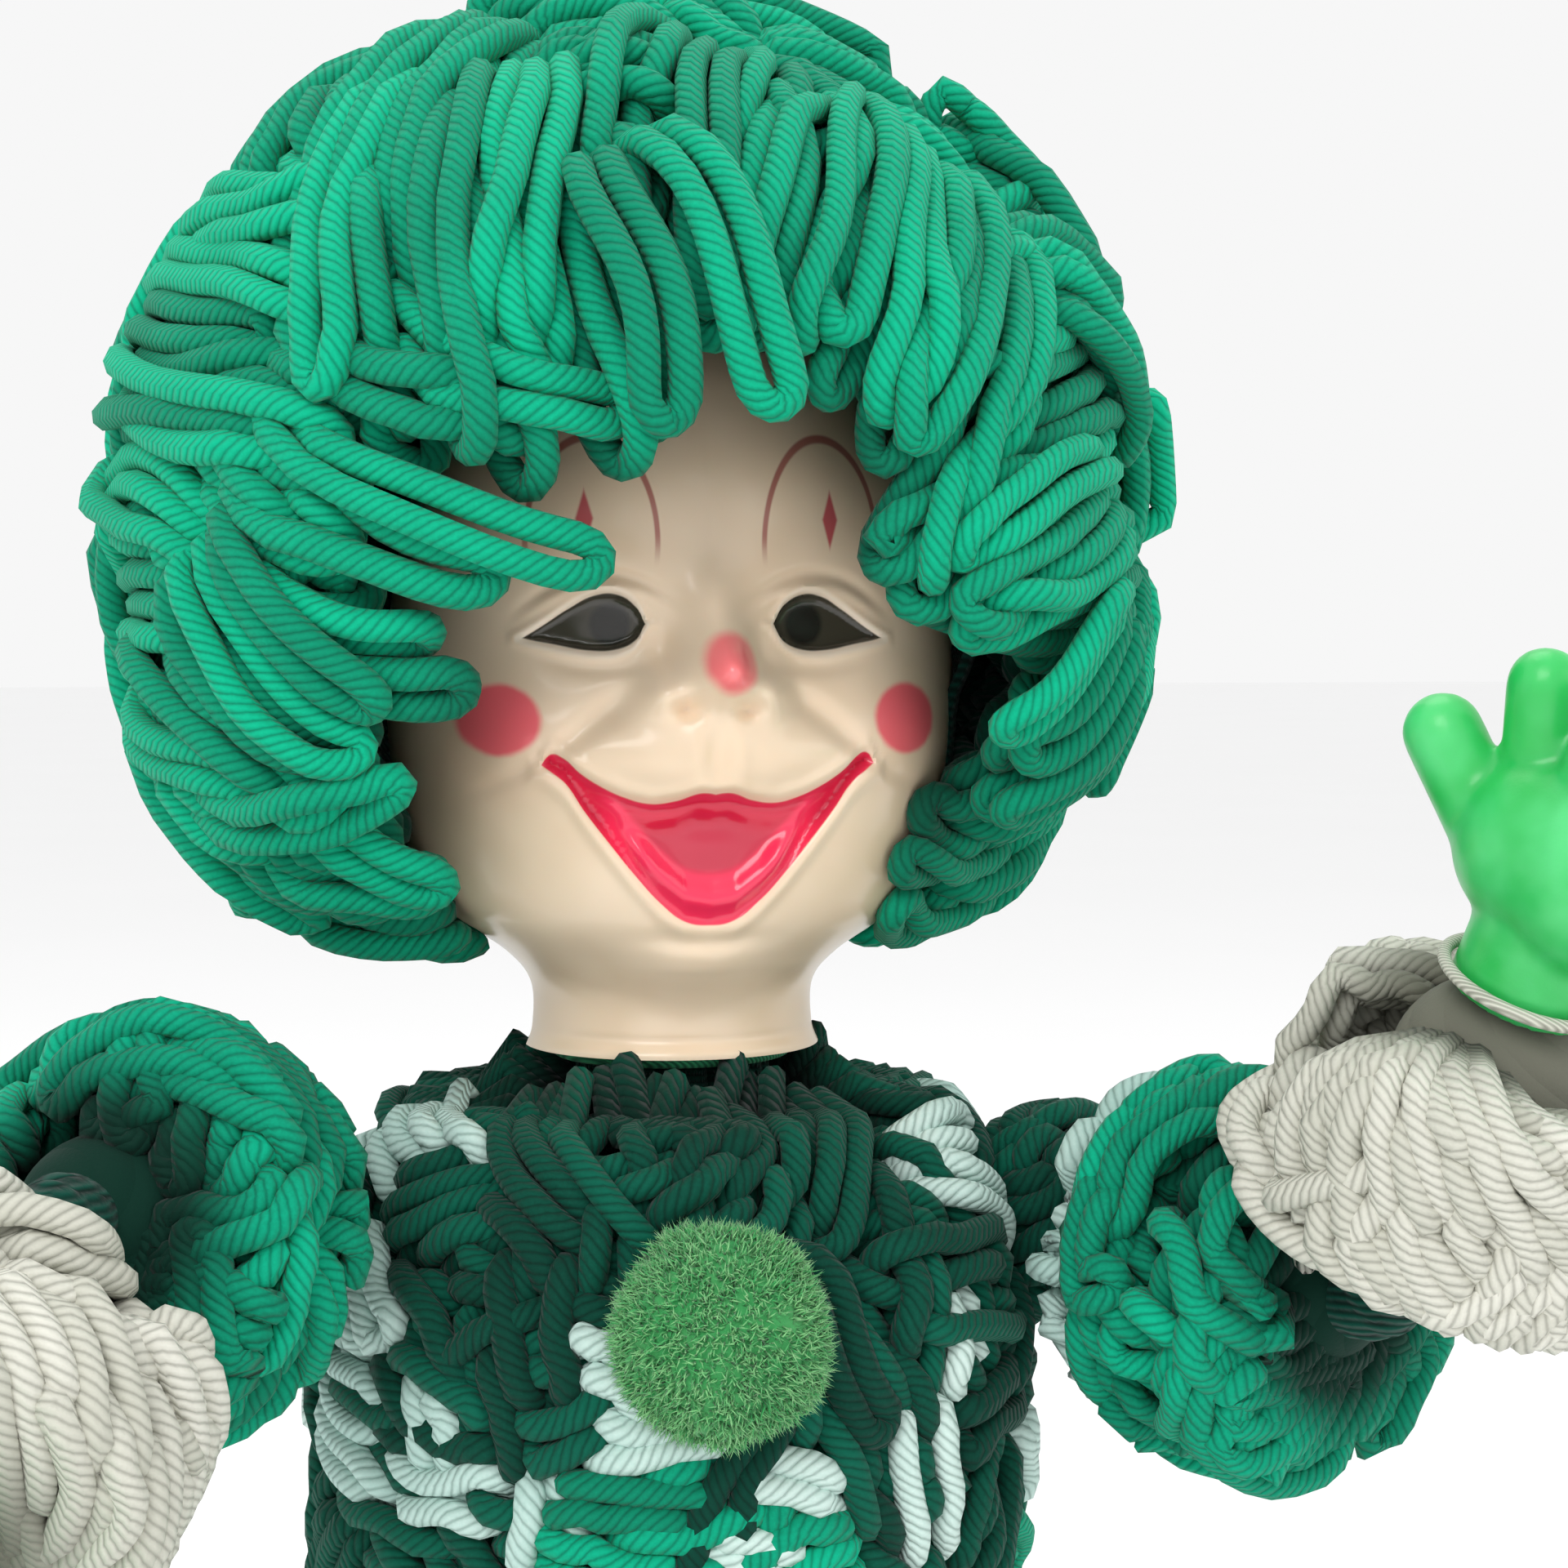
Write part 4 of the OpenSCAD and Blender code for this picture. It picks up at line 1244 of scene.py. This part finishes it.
def keepRing(base, top, axis, mid, halfLength, others=()):
    def keep(p):
        foot, n = onBase(base, p)
        h = ((p - foot) * n).sum(1)
        p = foot + n * np.clip(h, 1.5 * mm, top + 3.5 * mm)[:, None]
        # the ends of the ring are rounded in, not cut flat
        t = (p - mid) @ axis
        easeFrom = halfLength * 0.45
        past = np.maximum(np.abs(t) - easeFrom, 0)
        eased = np.sign(t) * (easeFrom + (halfLength - easeFrom) * np.tanh(past / (halfLength - easeFrom)))
        p = p + axis * (np.where(past > 0, eased, t) - t)[:, None]
        for centre, radius in others:
            pushOut(p, centre, radius)
        return p
    return keep


def makeArm(side, seed):
    draw = np.random.default_rng(seed)
    rounds = 26
    shoulder, elbow, wrist = (jointPlace(side + n) for n in ("_arm_swing", "_elbow", "_hand_turn"))
    upperAxis, foreAxis = unit(elbow - shoulder), unit(wrist - elbow)
    clearBall = [(shoulder, shoulderRadius + 3.6 * mm)]

    def finishRing(name, colour, body, node, base, locks, keep, top, bedGrow=None):
        pile = yarnMesh(side + name + "Yarn", settle(locks, rounds, keep), base, top, draw)
        bed = None if bedGrow is None else yarnBed(side + name + "Bed", base, bedGrow)
        finishPile(pile, colour, side + body, side + node, bed)

    # dark ball at the shoulder
    base = {"from": shoulder, "to": shoulder, "radius": 9 * mm}
    top = shoulderRadius - 9 * mm - yarn["radius"]
    locks = ringLocks(base, upperAxis, 15, 2, (20 * mm, 28 * mm), top, draw)
    keep = keepRing(base, top - 3 * mm, upperAxis, shoulder, 18 * mm)
    finishRing("Shoulder", "dark", "_shoulder", "_shoulder_loops", base, locks, keep, top, 4 * mm)

    # white loops next to it
    mid = nodeMid(side + "_white_loops")
    base = {"from": mid - upperAxis * 1 * mm, "to": mid + upperAxis * 2 * mm, "radius": 11 * mm}
    locks = ringLocks(base, upperAxis, 11, 2, (26 * mm, 34 * mm), 13 * mm, draw, swing=40, curl=20,
                      wander=0.6 * mm, lean=4)
    keep = keepRing(base, 13 * mm, upperAxis, mid + upperAxis * 2 * mm, 5.5 * mm, clearBall)
    finishRing("White", "white", "_upper_arm", "_white_loops", base, locks, keep, 13 * mm)

    # thick ring of bright loops on the upper arm
    mid = nodeMid(side + "_arm_loops")
    base = {"from": mid - upperAxis * 8 * mm, "to": mid + upperAxis * 8 * mm, "radius": 14 * mm}
    locks = ringLocks(base, upperAxis, 30, 2, (28 * mm, 44 * mm), 14 * mm, draw)
    locks += ringLocks(base, upperAxis, 8, 2, (30 * mm, 40 * mm), 18 * mm, draw)
    keep = keepRing(base, 15 * mm, upperAxis, mid, arm["upperHalf"] - 1 * mm, clearBall)
    finishRing("Arm", "green", "_upper_arm", "_arm_loops", base, locks, keep, 16 * mm, 0)

    # long pale loops of the cuff hang down over one another
    mid = nodeMid(side + "_cuff_loops")
    base = {"from": mid - foreAxis * 9 * mm, "to": mid + foreAxis * 9 * mm, "radius": 14 * mm}
    fall = (0.1 if side == "left" else -0.1, -0.1, -1.0)
    locks = ringLocks(base, foreAxis, 22, 3, (40 * mm, 54 * mm), 16 * mm, draw, down=fall, curl=18, twist=15, lean=5,
                      wander=1.0 * mm)
    locks += ringLocks(base, foreAxis, 16, 2, (30 * mm, 42 * mm), 14 * mm, draw, curl=40)
    keep = keepRing(base, 16 * mm, foreAxis, mid, arm["cuffHalf"] - 1 * mm)
    finishRing("Cuff", "cream", "_forearm", "_cuff_loops", base, locks, keep, 17 * mm, 1 * mm)
    print(side, "arm done")


makeArm("left", arm["seed"])
makeArm("right", arm["seed"] + 1)


# moulded hands: the capsule shapes of the frame are melted together and softened
hand = {"voxel": 0.8 * mm, "smooth": 14}


def handVinylMaterial():
    mat, tree, shader = newMaterial("handVinyl")
    coords = objectCoords(tree)
    cloud = noiseAt(tree, coords, 45, 3, 0.6)
    fine = noiseAt(tree, coords, 500, 3, 0.6)
    colour = mixColour(tree, smoothStep(tree, cloud, 0.3, 0.72), linear(38, 182, 84), linear(88, 210, 130))
    tree.links.new(calc(tree, "MULTIPLY_ADD", cloud, 0.15, 0.26), shader.inputs["Roughness"])
    finishShader(tree, shader, colour, calc(tree, "MULTIPLY_ADD", cloud, 0.6, fine), 0.15, 0.4 * mm,
                 specular=0.5, glow=0.6, glowRadius=(0.4, 1.0, 0.5), glowScale=0.006)
    return mat


handVinyl = handVinylMaterial()
for side in ("left", "right"):
    mesh = nodeObject(side + "_hand").data.copy()
    mould = bpy.data.objects.new(side + "HandMould", mesh)
    bpy.context.scene.collection.objects.link(mould)
    mesh.materials.clear()
    useOnly(mould)
    bpy.ops.object.mode_set(mode="EDIT")
    bpy.ops.mesh.select_all(action="SELECT")
    bpy.ops.mesh.remove_doubles(threshold=0.00001)
    bpy.ops.object.mode_set(mode="OBJECT")
    melt = mould.modifiers.new("melt", "REMESH")
    melt.mode = "VOXEL"
    melt.voxel_size = hand["voxel"]
    soften = mould.modifiers.new("soften", "SMOOTH")
    soften.factor = 0.5
    soften.iterations = hand["smooth"]
    applyModifiers(mould)
    smoothShade(mould)
    declare(mould, side + "_palm", side + "_hand", handVinyl)
print("hands done")


# knitted cloth: rows of small stitches from the piece's own coordinates
def knitMaterial(name, dark, light, stitch=1.6 * mm):
    mat, tree, shader = newMaterial(name)
    coords = objectCoords(tree)
    x, y, z = splitAxes(tree, coords)
    angle = calc(tree, "ARCTAN2", y, x)
    column = calc(tree, "SINE", calc(tree, "MULTIPLY", angle, 110))
    lean = calc(tree, "MULTIPLY", calc(tree, "ABSOLUTE", column), 1.3)
    row = calc(tree, "SINE", calc(tree, "MULTIPLY_ADD", z, 2 * math.pi / stitch, lean))
    stitchHeight = calc(tree, "MULTIPLY_ADD", row, 0.5, calc(tree, "MULTIPLY", calc(tree, "ABSOLUTE", column), 0.6))
    fuzz = noiseAt(tree, coords, 900, 3, 0.6)
    patch = noiseAt(tree, coords, 30, 2)
    # painted light and shade: the raised parts of the stitches are lighter and the hollows between them darker, with a
    # random patchy tone on top
    lit = calc(tree, "MULTIPLY_ADD", stitchHeight, 0.5, calc(tree, "MULTIPLY", patch, 0.7))
    colour = mixColour(tree, smoothStep(tree, lit, 0.0, 0.9), dark, light)
    height = calc(tree, "MULTIPLY_ADD", fuzz, 0.4, stitchHeight)
    finishShader(tree, shader, colour, height, 0.8, 0.5 * mm, rough=0.9, specular=0.15, sheen=0.1)
    return mat


darkKnit = knitMaterial("darkKnit", linear(0, 22, 17), linear(3, 66, 54))
declare(hairCloth, "head", "wig_cap", darkKnit)


# a turned cloth wall: rows of (radius, height), closed round the axis, with its own ripple
def turnedCloth(name, rows, steps, ripple=None, wall=None):
    deselectAll()
    bpy.ops.mesh.primitive_circle_add(vertices=steps, radius=rows[0][0], location=(0, 0, rows[0][1]))
    obj = named(name)
    applyPlace(obj)
    bpy.ops.object.mode_set(mode="EDIT")
    bpy.ops.mesh.select_all(action="SELECT")
    for (r0, z0), (r1, z1) in zip(rows, rows[1:]):
        bpy.ops.mesh.extrude_edges_move(TRANSFORM_OT_translate={"value": (0, 0, z1 - z0)})
        bpy.ops.transform.resize(value=(r1 / r0, r1 / r0, 1), center_override=(0, 0, z1))
    bpy.ops.mesh.select_all(action="SELECT")
    bpy.ops.mesh.normals_make_consistent(inside=False)
    bpy.ops.object.mode_set(mode="OBJECT")
    if ripple is not None:
        setMeshPoints(obj, ripple(meshPoints(obj)))
    outward = sum(f.normal.x * f.center.x + f.normal.y * f.center.y for f in obj.data.polygons)
    if outward < 0:
        obj.data.flip_normals()
    if wall:
        addWall(obj, wall)
    smoothShade(obj, 50)
    return obj


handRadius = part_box("hem_band")[1][0] - 2.4 * mm
neckRadius = 18.5 * mm
taperFrom = gloveBox[1][2] - 52 * mm


def gloveRadius(z):
    if z <= taperFrom:
        return handRadius
    share = (z - taperFrom) / (gloveBox[1][2] - taperFrom)
    return neckRadius + (handRadius - neckRadius) * (1 + math.cos(math.pi * share)) / 2


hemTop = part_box("hem_band")[1][2]
outerWall = 2.3 * mm
rows = [(gloveRadius(z) + outerWall, z) for z in np.linspace(hemTop + 0.2 * mm, gloveBox[1][2], 60)]
gloveKnit = turnedCloth("gloveKnit", rows, 128, wall=2.2 * mm)
declare(gloveKnit, "torso", "glove", darkKnit)


# hem: ribs stand out in the band
def hemRibs(p):
    a = np.arctan2(p[:, 1], p[:, 0])
    q = p.copy()
    swell = 1 + 0.006 * np.cos(60 * a) - 0.012 * (np.abs(p[:, 2] / hemTop - 0.5) * 2) ** 6
    q[:, 0] *= swell
    q[:, 1] *= swell
    return q


rows = [(handRadius + outerWall, z) for z in np.linspace(0, hemTop, 14)]
hemBand = turnedCloth("hemBand", rows, 480, hemRibs, wall=2.0 * mm)
declare(hemBand, "torso", "hem_band", darkKnit)


# gathered neck cloth between the glove and the tied cord
def neckFolds(p):
    a = np.arctan2(p[:, 1], p[:, 0])
    share = np.clip((p[:, 2] - neckLow) / (neckHigh - neckLow), 0, 1)
    fold = 0.9 * mm * np.cos(22 * a + 0.6 * np.sin(3 * a)) + 0.35 * mm * np.cos(41 * a)
    fold = fold * np.sin(share * math.pi * 0.5)
    r = np.hypot(p[:, 0], p[:, 1])
    q = p.copy()
    q[:, 0] *= (r + fold) / r
    q[:, 1] *= (r + fold) / r
    return q


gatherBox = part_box("neck_gather")
neckLow, neckHigh = gloveBox[1][2] + 0.4 * mm, gatherBox[1][2] - 0.3 * mm
gatherRadius = gatherBox[1][0] - 1.1 * mm
seamRadius, neckHeight = neckRadius + 0.6 * mm, neckHigh - neckLow
rows = [(seamRadius + (gatherRadius - seamRadius) * easeIn(s, 0.0, 0.7), neckLow + neckHeight * s)
        for s in np.linspace(0, 1, 16)]
neckCloth = turnedCloth("neckGather", rows, 264, neckFolds)
addWall(neckCloth, 0.7 * mm)
smoothShade(neckCloth)
neckCloth.data.materials.append(knitMaterial("neckKnit", linear(0, 20, 15), linear(3, 60, 49), 1.2 * mm))
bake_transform(neckCloth)
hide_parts("neck_gather")
print("glove, hem and neck cloth done")


# wound cord: a twisted surface for ties and threads
def cordMaterial(name, dark, light):
    mat, tree, shader = newMaterial(name)
    coords = objectCoords(tree)
    x, y, z = splitAxes(tree, coords)
    mixed = calc(tree, "MULTIPLY_ADD", z, 1.3, calc(tree, "ADD", x, calc(tree, "MULTIPLY", y, 0.8)))
    twist = calc(tree, "SINE", calc(tree, "MULTIPLY", mixed, 5200))
    fuzz = noiseAt(tree, coords, 1600, 3, 0.6)
    patch = noiseAt(tree, coords, 90, 2)
    # painted light and shade: the ridges of the twist are lighter and its grooves darker, with a random patchy tone on
    # top
    lit = calc(tree, "MULTIPLY_ADD", twist, 0.25, calc(tree, "MULTIPLY_ADD", patch, 0.5, 0.25))
    colour = mixColour(tree, smoothStep(tree, lit, 0.1, 0.8), dark, light)
    height = calc(tree, "MULTIPLY_ADD", fuzz, 0.4, twist)
    finishShader(tree, shader, colour, height, 0.6, 0.2 * mm, rough=0.8, sheen=0.1)
    return mat


def plainDetail(name, dark, light, rough, metallic=0.0, scale=300, stretch=(1, 1, 1), bump=0.2):
    mat, tree, shader = newMaterial(name)
    coords = objectCoords(tree)
    mapping = addNode(tree, "ShaderNodeMapping")
    mapping.inputs["Scale"].default_value = stretch
    tree.links.new(coords, mapping.inputs["Vector"])
    grain = noiseAt(tree, mapping.outputs[0], scale, 4, 0.6)
    patch = noiseAt(tree, coords, 40, 2)
    lit = calc(tree, "MULTIPLY_ADD", grain, 0.7, calc(tree, "MULTIPLY", patch, 0.3))
    colour = mixColour(tree, smoothStep(tree, lit, 0.3, 0.75), dark, light)
    finishShader(tree, shader, colour, grain, bump, 0.3 * mm, rough=rough, metallic=metallic)
    return mat


greenCord = cordMaterial("greenCord", linear(2, 96, 66), linear(60, 178, 120))
paleCord = cordMaterial("paleCord", linear(150, 152, 138), linear(214, 214, 200))
cardBoard = plainDetail("cardBoard", linear(138, 112, 78), linear(188, 160, 120), 0.85, scale=260, stretch=(1, 1, 0.15))
stuffing = plainDetail("stuffingFibre", linear(214, 214, 206), linear(240, 240, 234), 0.95, scale=500, bump=0.7)
wire = plainDetail("drawnWire", linear(150, 152, 156), linear(196, 198, 202), 0.32, 0.9, 700, (1, 1, 0.2), 0.08)
finishes = {"neck_tie": greenCord, "pompom_threads": greenCord, "finger_tube": cardBoard, "head_core": stuffing}
for side in ("left", "right"):
    finishes[side + "_wrist_tie"] = paleCord
    finishes[side + "_upper_wire"] = wire
    finishes[side + "_forearm_wire"] = wire
for node, finish in finishes.items():
    obj = nodeObject(node)
    if not obj.material_slots:
        obj.data.materials.append(finish)
    for s in obj.material_slots:
        s.material = finish


# cloth sleeve over each elbow, from the shoulder's ball to the wrist
def makeSleeve(side):
    shoulder, elbow, wrist = (jointPlace(side + n) for n in ("_arm_swing", "_elbow", "_hand_turn"))
    upperAxis, foreAxis = unit(elbow - shoulder), unit(wrist - elbow)
    start = shoulder + upperAxis * (shoulderRadius + 1.4 * mm)
    turnLength = 11 * mm
    line = [start + upperAxis * s for s in np.linspace(0, np.linalg.norm(elbow - start) - turnLength, 16)]
    a, b = elbow - upperAxis * turnLength, elbow + foreAxis * turnLength
    line += [a * (1 - t) ** 2 + elbow * 2 * t * (1 - t) + b * t * t for t in np.linspace(0, 1, 18)[1:]]
    line += [elbow + foreAxis * s for s in np.linspace(turnLength, np.linalg.norm(wrist - elbow) - 0.4 * mm, 16)[1:]]
    line = np.array(line)
    ahead = unit(np.gradient(line, axis=0))
    hinge = unit(np.cross(upperAxis, foreAxis))
    deselectAll()
    bpy.ops.mesh.primitive_cylinder_add(vertices=40, radius=1, depth=2, end_fill_type="NOTHING")
    sleeve = named(side + "Sleeve")
    bpy.ops.object.mode_set(mode="EDIT")
    bpy.ops.mesh.select_all(action="SELECT")
    cloth = bmesh.from_edit_mesh(sleeve.data)
    upright = [e for e in cloth.edges if abs(e.verts[0].co.z - e.verts[1].co.z) > 1]
    bmesh.ops.subdivide_edges(cloth, edges=upright, cuts=len(line) - 2)
    bmesh.update_edit_mesh(sleeve.data)
    bpy.ops.object.mode_set(mode="OBJECT")
    co = meshPoints(sleeve)
    step = (co[:, 2] + 1) / 2 * (len(line) - 1)
    angle = np.arctan2(co[:, 1], co[:, 0])
    index = np.arange(len(line))
    mid = between(step, index, line)
    up = unit(np.cross(unit(between(step, index, ahead)), hinge))
    folds = 0.35 * mm * np.sin(step * 1.9 + 0.8 * np.sin(angle)) * np.exp(-((step - 24) / 6) ** 2)
    radius = 7.5 * mm + folds + 0.25 * mm * np.sin(3 * angle + step * 0.4)
    setMeshPoints(sleeve, mid + (hinge * np.cos(angle)[:, None] + up * np.sin(angle)[:, None]) * radius[:, None])
    turnOutwards(sleeve)
    first = sleeve.data.polygons[0]
    nearest = line[np.argmin(np.linalg.norm(line - np.array(first.center), axis=1))]
    if (np.array(first.center) - nearest) @ np.array(first.normal) < 0:
        sleeve.data.flip_normals()
    addWall(sleeve, 0.8 * mm)
    smoothShade(sleeve)
    sleeve.data.materials.append(sleeveKnit)
    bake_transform(sleeve)
    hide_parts(side + "_upper_core", side + "_forearm_core")


sleeveKnit = knitMaterial("sleeveKnit", linear(0, 24, 19), linear(3, 70, 57), 1.4 * mm)
makeSleeve("left")
makeSleeve("right")


def paleMaterial():
    mat, tree, shader = newMaterial("paleFloor")
    coords = objectCoords(tree)
    mottle = noiseAt(tree, coords, 3, 2)
    tree.links.new(mixColour(tree, mottle, (0.95, 0.95, 0.95), (0.97, 0.97, 0.97)), shader.inputs["Base Color"])
    shader.inputs["Roughness"].default_value = 0.9
    return mat


deselectAll()
bpy.ops.mesh.primitive_plane_add(size=30, location=(0, 0, 0))
floor = named("studioFloor")
floor.data.materials.append(paleMaterial())

world = bpy.context.scene.world or bpy.data.worlds.new("studio")
bpy.context.scene.world = world
world.use_nodes = True
world.node_tree.nodes["Background"].inputs[0].default_value = (1, 1, 1, 1)
world.node_tree.nodes["Background"].inputs[1].default_value = 0.93


def softLight(name, place, size, power, aim):
    bpy.ops.object.light_add(type="AREA", location=place)
    light = bpy.context.object
    light.name = name
    light.data.size = size
    light.data.energy = power
    light.rotation_euler = (Vector(place) - Vector(aim)).to_track_quat("Z", "Y").to_euler()
    return light


softLight("keyLight", (-0.7, -1.3, 1.3), 0.9, 13, (0, 0, 0.28))
softLight("fillLight", (1.4, -1.0, 0.8), 1.2, 3, (0, 0, 0.28))
softLight("topLight", (0.1, 0.5, 1.7), 1.0, 6, (0, 0, 0.25))
bpy.context.scene.view_settings.view_transform = "Standard"
